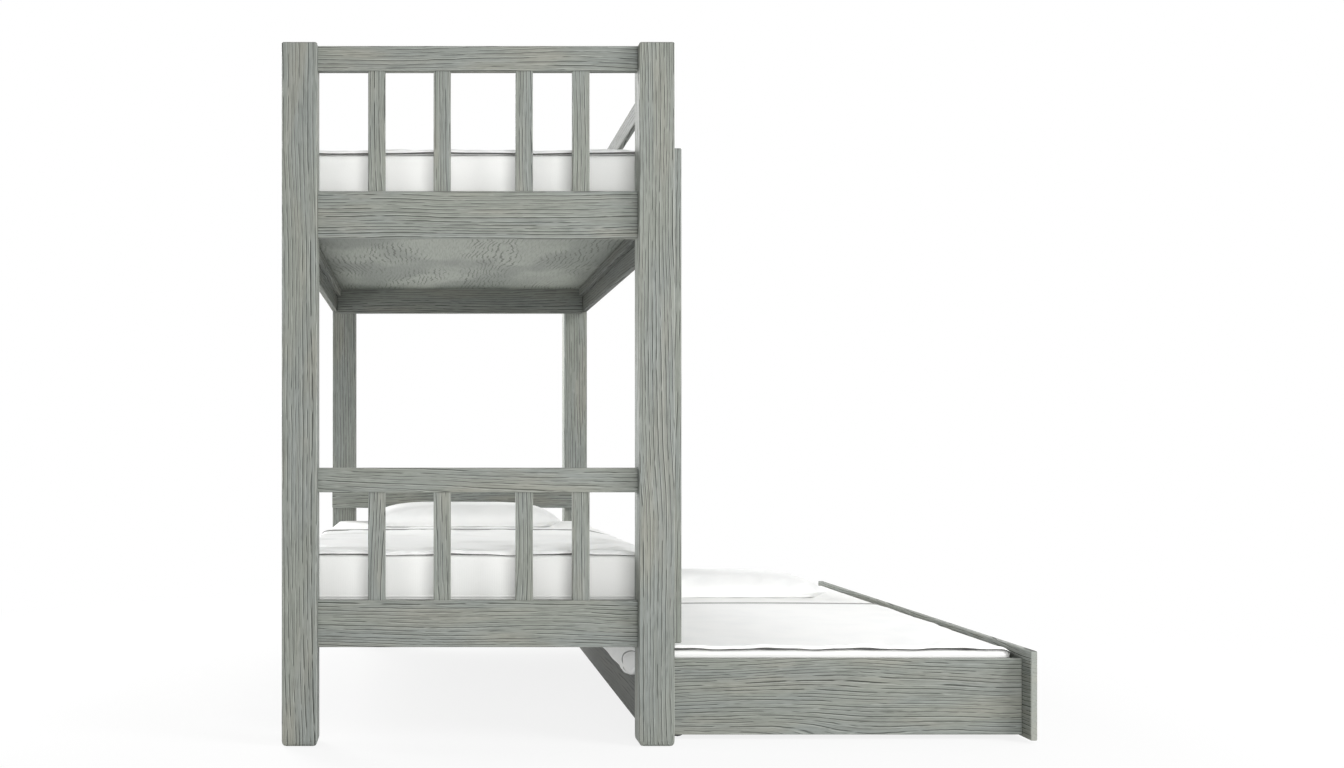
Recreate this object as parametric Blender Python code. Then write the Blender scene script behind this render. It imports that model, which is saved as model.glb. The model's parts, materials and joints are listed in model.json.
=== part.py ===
"""Bunk bed with a trundle that rolls out from under the lower bunk.

The bed is set out in its own corner-based axes: X runs from the wall side to
the ladder side, Y from the foot end to the head end, Z up from the floor. An
empty moves that corner so that the whole bed, with the trundle rolled out,
stands centred on the world origin. The trundle has an empty of its own, and
each caster wheel has its origin on its axle.
"""
import math

import bmesh
import bpy
import numpy as np
from mathutils import Matrix, Vector

# Clearances and edge rounding
GAP = 0.0003
EASE = 0.002
POST_EASE = 0.003
CUT_OVERRUN = 0.004
SHARP_ANGLE = math.radians(35)

# Bedding, which sets the size of everything round it
MATTRESS_WIDTH = 0.990
MATTRESS_LENGTH = 1.905
MATTRESS_THICKNESS = 0.132
MATTRESS_CORNER = 0.045
MATTRESS_SHOULDER = 0.012
MATTRESS_FOOT_ROUND = 0.014
MATTRESS_DRAW_IN = 0.003
MATTRESS_CROWN = 0.004
DUVET_THICKNESS = 0.012
DUVET_FOLD = 1.147
DUVET_CUFF = 0.230
DUVET_EDGE_INSET = 0.003
DUVET_SHOULDER_LIFT = 0.0012
DUVET_PUFF = 0.0015
DUVET_FOLD_PITCH = 0.240
DUVET_BODY_LINES = 8
PILLOW_WIDTH = 0.720
PILLOW_LENGTH = 0.440
PILLOW_HEIGHT = 0.085
PILLOW_HEAD_GAP = 0.115
PILLOW_OFFSET = 0.006

# Where the grid lines of the bedding lie, and how the duvets thin towards their rims
CROWN_LINE_SHARES = (0.8, 0.5, 0.2)
SHOULDER_LINE_SHARES = (0.0, 0.45, 1.0)
SHOULDER_REACH_SHARE = 0.95
FLAT_LINE_SHARES = (-0.66, -0.33, 0.0, 0.33, 0.66)
CUFF_LINE_SHARES = (0.08, 0.5, 0.92, 1.0)
RIM_THICKNESS_SHARES = (0.5, 0.88)
HANG_LINE_SHARES = (1.0, 0.7, 0.35)
HANG_THICKNESS_SHARES = (0.5, 1.0, 1.0)
BEND_THICKNESS_SHARES = ((1.0, 0.35), (0.6, 0.8), (0.0, 1.0))
PILLOW_DRAW_SHARE = 0.05
PILLOW_SEAM_SHARE = 0.34

# Posts
POST_WIDTH = 0.094
POST_DEPTH = 0.088
POST_FOOT_ROUND = 0.010
POST_FOOT_HEIGHT = 0.015

# Boards of the bed
SIDE_RAIL_THICKNESS = 0.020
LEDGER_THICKNESS = 0.025
LEDGER_DROP = 0.008
WIDE_RAIL_HEIGHT = 0.1255
TOP_RAIL_HEIGHT = 0.066
END_RAIL_THICKNESS = 0.030
END_RAIL_RECESS = 0.032
TENON_LENGTH = 0.025
TENON_SHOULDER = 0.009
PLATFORM_THICKNESS = 0.018
PLATFORM_CLEARANCE = 0.002
PLATFORM_RISE = 0.0905
CLEAT_WIDTH = 0.020
CLEAT_HEIGHT = 0.032
CLEAT_END_GAP = 0.040
GLUE_DEPTH = 0.002
SIDE_TENON_SHOULDER = 0.005
MATTRESS_SIDE_CLEARANCE = 0.008
MATTRESS_END_CLEARANCE = 0.010

# Slats of the end panels: centres as shares of the width between the posts
SLAT_WIDTH = 0.0465
SLAT_THICKNESS = 0.018
SLAT_HOUSING = 0.012
SLAT_CENTRE_SHARES = (0.184, 0.389, 0.646, 0.8235)

# Heights of the bunks above each other and of their end panels
BUNK_SPACING = 1.0985
END_GUARD_HEIGHT = 0.3915
TOP_RAIL_DROP = 0.002
MID_RAIL_RISE = 0.290
HEAD_BOARD_RISE = 0.168
HEAD_GUARD_RISE = 0.166

# Guard rails
GUARD_THICKNESS = 0.018
GUARD_HEIGHT = 0.062
GUARD_DROP = 0.014
WALL_GUARD_DROP = 0.099
UPRIGHT_WIDTH = 0.045
UPRIGHT_TENON = 0.012
UPRIGHT_SHOULDER = 0.005
GUARD_UPRIGHT_SHARES = (0.0, 0.5)
WALL_UPRIGHT_SHARES = (0.5,)

# Ladder
LADDER_START = 0.024
LADDER_WIDTH = 0.373
LADDER_GUARD_GAP = 0.015
LADDER_RISE = 0.1325
STILE_DEPTH = 0.038
STILE_WIDTH = 0.030
RUNG_COUNT = 4
RUNG_PITCH = 0.300
FIRST_RUNG_RISE = 0.095
RUNG_DEPTH = 0.032
RUNG_HEIGHT = 0.026
RUNG_HOUSING = 0.010
RUNG_EASE = 0.005

# Trundle
PANEL_THICKNESS = 0.018
TRUNDLE_SIDE_CLEARANCE = 0.0075
TRUNDLE_END_CLEARANCE = 0.011
TRUNDLE_UNDERLAP = 0.059
TRUNDLE_HEADROOM = 0.0065
BODY_PANEL_FLOOR_GAP = 0.0135
BODY_PANEL_DROP = 0.0165
FRONT_PANEL_FLOOR_GAP = 0.008
FRONT_PANEL_TOP_GAP = 0.012
FRONT_PANEL_INSET = 0.040
BEARER_THICKNESS = 0.018
BEARER_WIDTH = 0.090
DROP_HANG = 0.105
DROP_CORNER_RISE = 0.060
DROP_CORNER_LENGTH = 0.420
DROP_THICKNESS = 0.009
DROP_FOLD_DEPTH = 0.0025
DROP_FOLD_PITCH = 0.300

# Casters
CASTER_HEIGHT = 0.070
CASTER_INSET_X = 0.090
CASTER_INSET_Y = 0.050
FRONT_CASTER_SETBACK = 0.035
WHEEL_RADIUS = 0.025
WHEEL_WIDTH = 0.018
WHEEL_TREAD_ROUND = 0.004
WHEEL_HUB_RADIUS = 0.010
WHEEL_DISH = 0.003
WHEEL_SIDES = 20
HUB_CLEARANCE = 0.0012
AXLE_RADIUS = 0.004
AXLE_HEAD_RADIUS = 0.0065
AXLE_HEAD_LENGTH = 0.002
BRACKET_STEEL = 0.0025
BRACKET_PLATE_LENGTH = 0.056
BRACKET_PLATE_WIDTH = 0.044
BRACKET_EAR_WIDTH = 0.040
BRACKET_EAR_TIP = 0.011
BRACKET_EASE_SHARE = 0.2
RIVET_SEAT = 0.0005

# Sizes that follow from the ones above
BED_WIDTH = MATTRESS_WIDTH + 2 * (MATTRESS_SIDE_CLEARANCE + SIDE_RAIL_THICKNESS)
LEDGER_INNER = POST_DEPTH + LEDGER_THICKNESS
BED_LENGTH = MATTRESS_LENGTH + 2 * (MATTRESS_END_CLEARANCE + LEDGER_INNER)
BEARER_BOTTOM = CASTER_HEIGHT
TRUNDLE_PLATFORM_BOTTOM = BEARER_BOTTOM + BEARER_THICKNESS
TRUNDLE_MATTRESS_BOTTOM = TRUNDLE_PLATFORM_BOTTOM + PLATFORM_THICKNESS
TRUNDLE_MATTRESS_TOP = TRUNDLE_MATTRESS_BOTTOM + MATTRESS_THICKNESS
BASE_RAIL_BOTTOM = TRUNDLE_MATTRESS_TOP + MATTRESS_CROWN + DUVET_THICKNESS + TRUNDLE_HEADROOM
UPPER_RAIL_BOTTOM = BASE_RAIL_BOTTOM + BUNK_SPACING
BASE_RAIL_TOP = BASE_RAIL_BOTTOM + WIDE_RAIL_HEIGHT
UPPER_RAIL_TOP = UPPER_RAIL_BOTTOM + WIDE_RAIL_HEIGHT
BED_HEIGHT = UPPER_RAIL_TOP + END_GUARD_HEIGHT
MID_RAIL_BOTTOM = BASE_RAIL_TOP + MID_RAIL_RISE
TOP_RAIL_BOTTOM = BED_HEIGHT - TOP_RAIL_DROP - TOP_RAIL_HEIGHT
GUARD_BOTTOM = BED_HEIGHT - GUARD_DROP - GUARD_HEIGHT
WALL_GUARD_BOTTOM = BED_HEIGHT - WALL_GUARD_DROP - GUARD_HEIGHT
LADDER_NEAR = POST_DEPTH + LADDER_START
GUARD_START = LADDER_NEAR + LADDER_WIDTH + LADDER_GUARD_GAP
LADDER_TOP = UPPER_RAIL_TOP + LADDER_RISE
TRUNDLE_WIDTH = MATTRESS_WIDTH + 2 * TRUNDLE_SIDE_CLEARANCE + PANEL_THICKNESS
TRUNDLE_LENGTH = MATTRESS_LENGTH + 2 * (TRUNDLE_END_CLEARANCE + PANEL_THICKNESS)
TRUNDLE_X = BED_WIDTH - TRUNDLE_UNDERLAP
TRUNDLE_Y = (BED_LENGTH - TRUNDLE_LENGTH) / 2
TOTAL_WIDTH = TRUNDLE_X + TRUNDLE_WIDTH + PANEL_THICKNESS
BODY_PANEL_TOP = TRUNDLE_MATTRESS_TOP - BODY_PANEL_DROP

# Two sides and two ends, counted from the wall side and the foot end
WALL, LADDER = 0, 1
FOOT, HEAD = 0, 1
SIDES = (("wall", WALL), ("ladder", LADDER))
ENDS = (("foot", FOOT), ("head", HEAD))
BUNKS = (("lower", BASE_RAIL_BOTTOM), ("upper", UPPER_RAIL_BOTTOM))

# Rails of the foot end panel: bottom and height
FOOT_RAILS = ((BASE_RAIL_BOTTOM, WIDE_RAIL_HEIGHT), (MID_RAIL_BOTTOM, TOP_RAIL_HEIGHT),
              (UPPER_RAIL_BOTTOM, WIDE_RAIL_HEIGHT), (TOP_RAIL_BOTTOM, TOP_RAIL_HEIGHT))


def clear_scene():
    """Remove whatever the scene holds."""
    for obj in list(bpy.data.objects):
        bpy.data.objects.remove(obj, do_unlink=True)


def principled(name, color, roughness, metallic=0.0):
    """Material with the piece's own colour, as linear RGB."""
    material = bpy.data.materials.new(name)
    material.use_nodes = True
    shader = material.node_tree.nodes["Principled BSDF"]
    shader.inputs["Base Color"].default_value = (*color, 1.0)
    shader.inputs["Roughness"].default_value = roughness
    shader.inputs["Metallic"].default_value = metallic
    material.diffuse_color = (*color, 1.0)
    return material


def oak_material(name):
    """Brushed oak with a grey-green stain."""
    return principled(name, (0.30, 0.315, 0.28), 0.65)


def plywood_material(name):
    """Stained plywood of the platforms."""
    return principled(name, (0.26, 0.27, 0.24), 0.7)


def ticking_material(name):
    """White knitted mattress cover."""
    return principled(name, (0.80, 0.80, 0.79), 0.85)


def cotton_material(name):
    """White cotton of the duvets and pillows."""
    return principled(name, (0.84, 0.84, 0.84), 0.9)


def steel_material(name):
    """Zinc-plated steel of the caster brackets."""
    return principled(name, (0.52, 0.53, 0.54), 0.35, 1.0)


def tyre_material(name):
    """Dark grey tread of the caster wheels."""
    return principled(name, (0.06, 0.06, 0.065), 0.6)


def add_object(name, bm, material, parent):
    """Turn a bmesh into a named object under its parent."""
    mesh = bpy.data.meshes.new(name)
    bmesh.ops.recalc_face_normals(bm, faces=bm.faces)
    bm.to_mesh(mesh)
    bm.free()
    mesh.materials.append(material(name))
    obj = bpy.data.objects.new(name, mesh)
    bpy.context.scene.collection.objects.link(obj)
    obj.parent = parent
    return obj


def add_empty(name, location, parent=None):
    """Empty that carries a group of pieces."""
    empty = bpy.data.objects.new(name, None)
    bpy.context.scene.collection.objects.link(empty)
    empty.location = location
    empty.parent = parent
    return empty


def from_side(side, low, high):
    """Span across the bed, measured inwards from the wall side or the ladder side."""
    return (low, high) if side == WALL else (BED_WIDTH - high, BED_WIDTH - low)


def from_end(end, low, high):
    """Span along the bed, measured inwards from the foot end or the head end."""
    return (low, high) if end == FOOT else (BED_LENGTH - high, BED_LENGTH - low)


def grown(span, by):
    """A span made longer by the same amount at both ends."""
    return (span[0] - by, span[1] + by)


def middle(span):
    """Centre of a span."""
    return (span[0] + span[1]) / 2


def add_box(bm, x, y, z):
    """Add a box between three spans and return its vertices."""
    centre = Matrix.Translation((middle(x), middle(y), middle(z)))
    size = Matrix.Diagonal((x[1] - x[0], y[1] - y[0], z[1] - z[0], 1.0))
    return bmesh.ops.create_cube(bm, size=1.0, matrix=centre @ size)["verts"]


def ease_edges(bm, edges, offset, segments=1):
    """Round the given edges, as a router does along a board."""
    bmesh.ops.bevel(bm, geom=edges, offset=offset, segments=segments, profile=0.5,
                    affect="EDGES", clamp_overlap=True)


def add_board(bm, x, y, z, ease=EASE):
    """Add a board with all its edges eased."""
    verts = add_box(bm, x, y, z)
    edges = list({edge for vert in verts for edge in vert.link_edges})
    ease_edges(bm, edges, ease)


def board(name, x, y, z, material, parent, ease=EASE):
    """One plain board with eased edges."""
    bm = bmesh.new()
    add_board(bm, x, y, z, ease)
    return add_object(name, bm, material, parent)


def add_tenoned(bm, x, y, z, axis, tenon, shoulder, ease=EASE):
    """Add a board that steps in by a shoulder to a tenon at both ends of one axis.

    With a shoulder of zero the whole section runs on into its housing.
    """
    if not shoulder:
        spans = [x, y, z]
        spans[axis] = grown(spans[axis], tenon)
        verts = add_box(bm, *spans)
    else:
        verts = add_box(bm, x, y, z)
        faces = {face for vert in verts for face in vert.link_faces}
        for face in [f for f in faces if abs(f.normal[axis]) > abs(f.normal[axis - 1])
                     and abs(f.normal[axis]) > abs(f.normal[axis - 2])]:
            outward = Vector(face.normal)
            bmesh.ops.inset_individual(bm, faces=[face], thickness=shoulder, use_even_offset=True)
            tip = bmesh.ops.extrude_discrete_faces(bm, faces=[face])["faces"][0]
            bmesh.ops.translate(bm, verts=tip.verts, vec=outward * tenon)
    long_edges = []
    for edge in {e for vert in verts if vert.is_valid for e in vert.link_edges}:
        run = edge.verts[1].co - edge.verts[0].co
        if abs(run[axis]) > max(abs(run[axis - 1]), abs(run[axis - 2])) and edge.calc_length() > tenon * 2:
            long_edges.append(edge)
    ease_edges(bm, long_edges, ease)


def tenoned_board(name, spans, axis, tenon, shoulder, parent, ease=EASE):
    """One oak board with tenons on the ends of one axis."""
    bm = bmesh.new()
    add_tenoned(bm, *spans, axis, tenon, shoulder, ease)
    return add_object(name, bm, oak_material, parent)


def cut_boxes(target, places, parent, name):
    """Cut box-shaped pockets into a piece."""
    bm = bmesh.new()
    for x, y, z in places:
        add_box(bm, x, y, z)
    cut_with(target, bm, parent, name)


def cut_with(target, bm, parent, name, operation="DIFFERENCE"):
    """Cut a closed shape out of a piece, or join it on, and keep the tool shape out of sight."""
    cutter = add_object(name, bm, steel_material, parent)
    cutter.hide_render = True
    cutter.display_type = "WIRE"
    cut = target.modifiers.new(name, "BOOLEAN")
    cut.operation = operation
    cut.solver = "EXACT"
    cut.object = cutter


def glue_board(target, x, y, z, parent, name):
    """Join a board on to a piece as one body."""
    bm = bmesh.new()
    add_board(bm, x, y, z)
    cut_with(target, bm, parent, name, "UNION")


def ring_faces(bm, rings):
    """Skin closed rings of vertices one after another."""
    for lower, upper in zip(rings, rings[1:]):
        count = len(lower)
        for i in range(count):
            j = (i + 1) % count
            bm.faces.new((lower[i], lower[j], upper[j], upper[i]))


def rounded_outline(half_x, half_y, radius, steps, spread=1):
    """Points round a rectangle with rounded corners, centred on zero.

    Each corner is a quarter circle of the given number of steps. The straight
    sides are divided too, so that a crown can be laid over them.
    """
    corners = ((1, 1), (-1, 1), (-1, -1), (1, -1))
    points = []
    for turn, (sx, sy) in enumerate(corners):
        start = turn * math.pi / 2
        for step in range(steps + 1):
            angle = start + step / steps * math.pi / 2
            points.append((sx * (half_x - radius) + radius * math.cos(angle),
                           sy * (half_y - radius) + radius * math.sin(angle)))
        nx, ny = corners[(turn + 1) % 4]
        last = points[-1]
        angle = start + math.pi / 2
        after = (nx * (half_x - radius) + radius * math.cos(angle),
                 ny * (half_y - radius) + radius * math.sin(angle))
        for part in range(1, spread):
            points.append((last[0] + (after[0] - last[0]) * part / spread,
                           last[1] + (after[1] - last[1]) * part / spread))
    return points


def post_pockets(side, end):
    """Mortises of one post for the side rails and, at the foot end, the panel's rails."""
    half = SIDE_RAIL_THICKNESS / 2 - SIDE_TENON_SHOULDER + GAP
    x = grown(from_side(side, SIDE_RAIL_THICKNESS / 2, SIDE_RAIL_THICKNESS / 2), half)
    y = from_end(end, POST_DEPTH - TENON_LENGTH - GAP, POST_DEPTH + CUT_OVERRUN)
    pockets = [(x, y, grown((low, low + WIDE_RAIL_HEIGHT), GAP - SIDE_TENON_SHOULDER)) for _, low in BUNKS]
    if end == FOOT:
        x = from_side(side, POST_WIDTH - TENON_LENGTH - GAP, POST_WIDTH + CUT_OVERRUN)
        y = grown((END_RAIL_RECESS, END_RAIL_RECESS + END_RAIL_THICKNESS), GAP - TENON_SHOULDER)
        pockets += [(x, y, grown((low, low + height), GAP - TENON_SHOULDER)) for low, height in FOOT_RAILS]
    return pockets


def make_posts(parent):
    """Four posts with rounded feet, mortised for the rails."""
    foot_steps = 3
    corner_steps = 2
    rings = [(POST_FOOT_ROUND * (1 - math.sin(step / foot_steps * math.pi / 2)),
              POST_FOOT_HEIGHT * (1 - math.cos(step / foot_steps * math.pi / 2)))
             for step in range(foot_steps + 1)]
    rings += [(0.0, BED_HEIGHT - POST_EASE), (POST_EASE, BED_HEIGHT)]
    for end_name, end in ENDS:
        for side_name, side in SIDES:
            x = middle(from_side(side, 0, POST_WIDTH))
            y = middle(from_end(end, 0, POST_DEPTH))
            bm = bmesh.new()
            loops = []
            for inset, height in rings:
                outline = rounded_outline(POST_WIDTH / 2 - inset, POST_DEPTH / 2 - inset, POST_EASE,
                                          corner_steps)
                loops.append([bm.verts.new((x + px, y + py, height)) for px, py in outline])
            ring_faces(bm, loops)
            bm.faces.new(reversed(loops[0]))
            bm.faces.new(loops[-1])
            name = f"post_{end_name}_{side_name}"
            post = add_object(name, bm, oak_material, parent)
            cut_boxes(post, post_pockets(side, end), parent, f"cut_{name}")


def slat_spans():
    """Spans across the bed of the four slats in the foot end panel."""
    clear = BED_WIDTH - 2 * POST_WIDTH
    centres = [POST_WIDTH + share * clear for share in SLAT_CENTRE_SHARES]
    return [(centre - SLAT_WIDTH / 2, centre + SLAT_WIDTH / 2) for centre in centres]


def slat_depth():
    """Span of the slats along the bed: they stand in the middle of the rails."""
    centre = END_RAIL_RECESS + END_RAIL_THICKNESS / 2
    return (centre - SLAT_THICKNESS / 2, centre + SLAT_THICKNESS / 2)


def foot_rail(name, bottom, height, slats_above, parent):
    """One rail of the foot end, tenoned into both posts and mortised for its slats."""
    spans = ((POST_WIDTH + GAP, BED_WIDTH - POST_WIDTH - GAP),
             (END_RAIL_RECESS, END_RAIL_RECESS + END_RAIL_THICKNESS), (bottom, bottom + height))
    rail = tenoned_board(name, spans, 0, TENON_LENGTH - GAP, TENON_SHOULDER, parent)
    if slats_above:
        z = (bottom + height - SLAT_HOUSING, bottom + height + CUT_OVERRUN)
    else:
        z = (bottom - CUT_OVERRUN, bottom + SLAT_HOUSING)
    pockets = [(grown(span, GAP), grown(slat_depth(), GAP), z) for span in slat_spans()]
    cut_boxes(rail, pockets, parent, f"cut_{name}")


def make_foot_panel(parent):
    """Rails and slats of the foot end."""
    names = ("foot_base_rail", "foot_mid_rail", "foot_bunk_rail", "foot_top_rail")
    for number, (name, (bottom, height)) in enumerate(zip(names, FOOT_RAILS)):
        foot_rail(name, bottom, height, number % 2 == 0, parent)
    bays = (("lower", BASE_RAIL_TOP, MID_RAIL_BOTTOM),
            ("upper", UPPER_RAIL_TOP, TOP_RAIL_BOTTOM))
    for bunk, low, high in bays:
        for number, span in enumerate(slat_spans(), 1):
            tenoned_board(f"foot_{bunk}_slat_{number}", (span, slat_depth(), (low, high)), 2,
                          SLAT_HOUSING - GAP, 0, parent)


def make_head_boards(parent):
    """Boards of the head end, lapped over the inner faces of its posts."""
    y = from_end(HEAD, POST_DEPTH + GAP, LEDGER_INNER)
    between_rails = grown((SIDE_RAIL_THICKNESS, BED_WIDTH - SIDE_RAIL_THICKNESS), -GAP)
    between_guards = (GUARD_THICKNESS + GAP, BED_WIDTH - GUARD_THICKNESS - GAP)
    ledger = WIDE_RAIL_HEIGHT + LEDGER_DROP
    boards = (("head_lower_ledger", between_rails, BASE_RAIL_BOTTOM - LEDGER_DROP, ledger),
              ("head_board", (0, BED_WIDTH), BASE_RAIL_TOP + HEAD_BOARD_RISE, WIDE_RAIL_HEIGHT),
              ("head_upper_ledger", between_rails, UPPER_RAIL_BOTTOM - LEDGER_DROP, ledger),
              ("head_guard_board", between_guards, UPPER_RAIL_TOP + HEAD_GUARD_RISE, TOP_RAIL_HEIGHT),
              ("head_top_board", between_guards, TOP_RAIL_BOTTOM, TOP_RAIL_HEIGHT))
    for name, x, bottom, height in boards:
        board(name, x, y, (bottom, bottom + height), oak_material, parent)


def upright_spans(start, shares):
    """Spans along the bed of the guard uprights."""
    run = BED_LENGTH - POST_DEPTH - start - UPRIGHT_WIDTH
    return [(start + share * run, start + share * run + UPRIGHT_WIDTH) for share in shares]


def upright_pockets(side, spans, z):
    """Mortises for the uprights of one guard, between two heights."""
    x = grown(from_side(side, 0, GUARD_THICKNESS), GAP - UPRIGHT_SHOULDER)
    return [(x, grown(span, GAP - UPRIGHT_SHOULDER), z) for span in spans]


def make_side_rails(parent):
    """Four side rails tenoned into the posts, each with a cleat glued inside."""
    spans = (upright_spans(POST_DEPTH + GAP, WALL_UPRIGHT_SHARES),
             upright_spans(GUARD_START, GUARD_UPRIGHT_SHARES))
    between_posts = grown((POST_DEPTH, BED_LENGTH - POST_DEPTH), -GAP)
    for bunk, rail_bottom in BUNKS:
        seat = rail_bottom + PLATFORM_RISE
        for side_name, side in SIDES:
            name = f"{bunk}_{side_name}_side_rail"
            place = (from_side(side, 0, SIDE_RAIL_THICKNESS), between_posts,
                     (rail_bottom, rail_bottom + WIDE_RAIL_HEIGHT))
            rail = tenoned_board(name, place, 1, TENON_LENGTH - GAP, SIDE_TENON_SHOULDER, parent)
            cleat = from_side(side, SIDE_RAIL_THICKNESS - GLUE_DEPTH, SIDE_RAIL_THICKNESS + CLEAT_WIDTH)
            along = grown((LEDGER_INNER, BED_LENGTH - LEDGER_INNER), -CLEAT_END_GAP)
            glue_board(rail, cleat, along, (seat - CLEAT_HEIGHT, seat), parent, f"cleat_{name}")
            if bunk == "upper":
                top = (UPPER_RAIL_TOP - UPRIGHT_TENON - GAP, UPPER_RAIL_TOP + CUT_OVERRUN)
                cut_boxes(rail, upright_pockets(side, spans[side], top), parent, f"cut_{name}")


def make_platforms(parent):
    """Platforms of both bunks, lying on the cleats."""
    for bunk, rail_bottom in BUNKS:
        seat = rail_bottom + PLATFORM_RISE
        board(f"{bunk}_platform",
              grown((SIDE_RAIL_THICKNESS, BED_WIDTH - SIDE_RAIL_THICKNESS), -PLATFORM_CLEARANCE),
              grown((LEDGER_INNER, BED_LENGTH - LEDGER_INNER), -PLATFORM_CLEARANCE),
              (seat + GAP, seat + PLATFORM_THICKNESS), plywood_material, parent)


def make_guard(name, side, start, bottom, shares, parent):
    """Guard rail from a starting point to the head post, on uprights."""
    y = (start, BED_LENGTH - POST_DEPTH - GAP)
    x = from_side(side, 0, GUARD_THICKNESS)
    rail = board(f"{name}_rail", x, y, (bottom, bottom + GUARD_HEIGHT), oak_material, parent)
    spans = upright_spans(start, shares)
    cut_boxes(rail, upright_pockets(side, spans, (bottom - CUT_OVERRUN, bottom + UPRIGHT_TENON + GAP)),
              parent, f"cut_{name}_rail")
    for number, span in enumerate(spans, 1):
        tenoned_board(f"{name}_upright_{number}", (x, span, (UPPER_RAIL_TOP + GAP, bottom - GAP)), 2,
                      UPRIGHT_TENON - GAP, UPRIGHT_SHOULDER, parent)


def make_ladder(parent):
    """Ladder on the outside of the side rails, clear of the trundle below."""
    x = (BED_WIDTH + GAP, BED_WIDTH + GAP + STILE_DEPTH)
    z = (BASE_RAIL_BOTTOM, LADDER_TOP)
    near = (LADDER_NEAR, LADDER_NEAR + STILE_WIDTH)
    far = (LADDER_NEAR + LADDER_WIDTH - STILE_WIDTH, LADDER_NEAR + LADDER_WIDTH)
    rung_x = grown((middle(x), middle(x)), RUNG_DEPTH / 2)
    levels = [BASE_RAIL_BOTTOM + FIRST_RUNG_RISE + number * RUNG_PITCH for number in range(RUNG_COUNT)]
    rung_z = [(level - RUNG_HEIGHT / 2, level + RUNG_HEIGHT / 2) for level in levels]
    for name, y, inner in (("ladder_stile_near", near, (near[1] - RUNG_HOUSING, near[1] + CUT_OVERRUN)),
                           ("ladder_stile_far", far, (far[0] - CUT_OVERRUN, far[0] + RUNG_HOUSING))):
        stile = board(name, x, y, z, oak_material, parent, POST_EASE)
        pockets = [(grown(rung_x, GAP), inner, grown(level, GAP)) for level in rung_z]
        cut_boxes(stile, pockets, parent, f"cut_{name}")
    for number, level in enumerate(rung_z, 1):
        tenoned_board(f"ladder_rung_{number}", (rung_x, (near[1], far[0]), level), 1,
                      RUNG_HOUSING - GAP, 0, parent, RUNG_EASE)


def mattress_top(x, y):
    """Height of a mattress's crowned top over its bottom, from places about its centre."""
    across = 1 - (x / (MATTRESS_WIDTH / 2)) ** 2
    along = 1 - (y / (MATTRESS_LENGTH / 2)) ** 2
    return MATTRESS_THICKNESS + MATTRESS_CROWN * across * along


def make_mattress(name, centre, parent):
    """Mattress with rounded corners, drawn-in sides, a round shoulder and a crown."""
    half_x = MATTRESS_WIDTH / 2
    half_y = MATTRESS_LENGTH / 2
    base = MATTRESS_THICKNESS - MATTRESS_SHOULDER
    rings = [(MATTRESS_FOOT_ROUND, 0), (0, MATTRESS_FOOT_ROUND),
             (MATTRESS_DRAW_IN, (MATTRESS_FOOT_ROUND + base) / 2)]
    shoulder_steps = 4
    for step in range(shoulder_steps + 1):
        angle = step / shoulder_steps * math.pi / 2
        rings.append((MATTRESS_SHOULDER * (1 - math.cos(angle)),
                      base + MATTRESS_SHOULDER * math.sin(angle)))
    corner_steps, side_parts = 3, 5
    bm = bmesh.new()
    loops = []
    for inset, height in rings:
        outline = rounded_outline(half_x - inset, half_y - inset, MATTRESS_CORNER - inset,
                                  corner_steps, side_parts)
        loops.append([bm.verts.new((centre[0] + px, centre[1] + py, centre[2] + height))
                      for px, py in outline])
    top = rounded_outline(half_x - MATTRESS_SHOULDER, half_y - MATTRESS_SHOULDER,
                          MATTRESS_CORNER - MATTRESS_SHOULDER, corner_steps, side_parts)
    for share in CROWN_LINE_SHARES:
        loops.append([bm.verts.new((centre[0] + px * share, centre[1] + py * share,
                                    centre[2] + mattress_top(px * share, py * share))) for px, py in top])
    ring_faces(bm, loops)
    bm.faces.new(reversed(loops[0]))
    crown = bm.verts.new((centre[0], centre[1], centre[2] + mattress_top(0, 0)))
    for first, second in zip(loops[-1], loops[-1][1:] + loops[-1][:1]):
        bm.faces.new((first, second, crown))
    finish_soft(name, bm, ticking_material, parent)


def shoulder_drop(inset):
    """How far a cover lies below the mattress's top at a distance in from its side."""
    radius = MATTRESS_SHOULDER
    reach = np.clip(radius - inset, 0, radius * SHOULDER_REACH_SHARE)
    return radius - np.sqrt(radius ** 2 - reach ** 2)


def border_insets():
    """Distances in from a mattress's side at which a duvet's grid has lines."""
    round_part = MATTRESS_SHOULDER - DUVET_EDGE_INSET
    lines = [DUVET_EDGE_INSET + share * round_part for share in SHOULDER_LINE_SHARES]
    return np.array(lines + [lines[-1] + MATTRESS_SHOULDER])


def skin_grid(bm, inner, outer):
    """Close two grids of points, one above the other, into a solid."""
    rows, columns = inner.shape[:2]
    low = [[bm.verts.new(inner[r, c]) for c in range(columns)] for r in range(rows)]
    high = [[bm.verts.new(outer[r, c]) for c in range(columns)] for r in range(rows)]
    for r in range(rows - 1):
        for c in range(columns - 1):
            bm.faces.new((low[r][c], low[r + 1][c], low[r + 1][c + 1], low[r][c + 1]))
            bm.faces.new((high[r][c], high[r][c + 1], high[r + 1][c + 1], high[r + 1][c]))
    border = [(0, c) for c in range(columns)] + [(r, columns - 1) for r in range(1, rows)]
    border += [(rows - 1, c) for c in range(columns - 2, -1, -1)] + [(r, 0) for r in range(rows - 2, 0, -1)]
    for (r, c), (nr, nc) in zip(border, border[1:] + border[:1]):
        bm.faces.new((low[r][c], low[nr][nc], high[nr][nc], high[r][c]))


def duvet_columns():
    """Places of the duvet's long lines, measured from the middle of the mattress."""
    half = MATTRESS_WIDTH / 2
    edge = border_insets()
    flat = (half - edge[-1]) * np.array(FLAT_LINE_SHARES)
    return np.concatenate([edge - half, flat, (half - edge)[::-1]])


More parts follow.
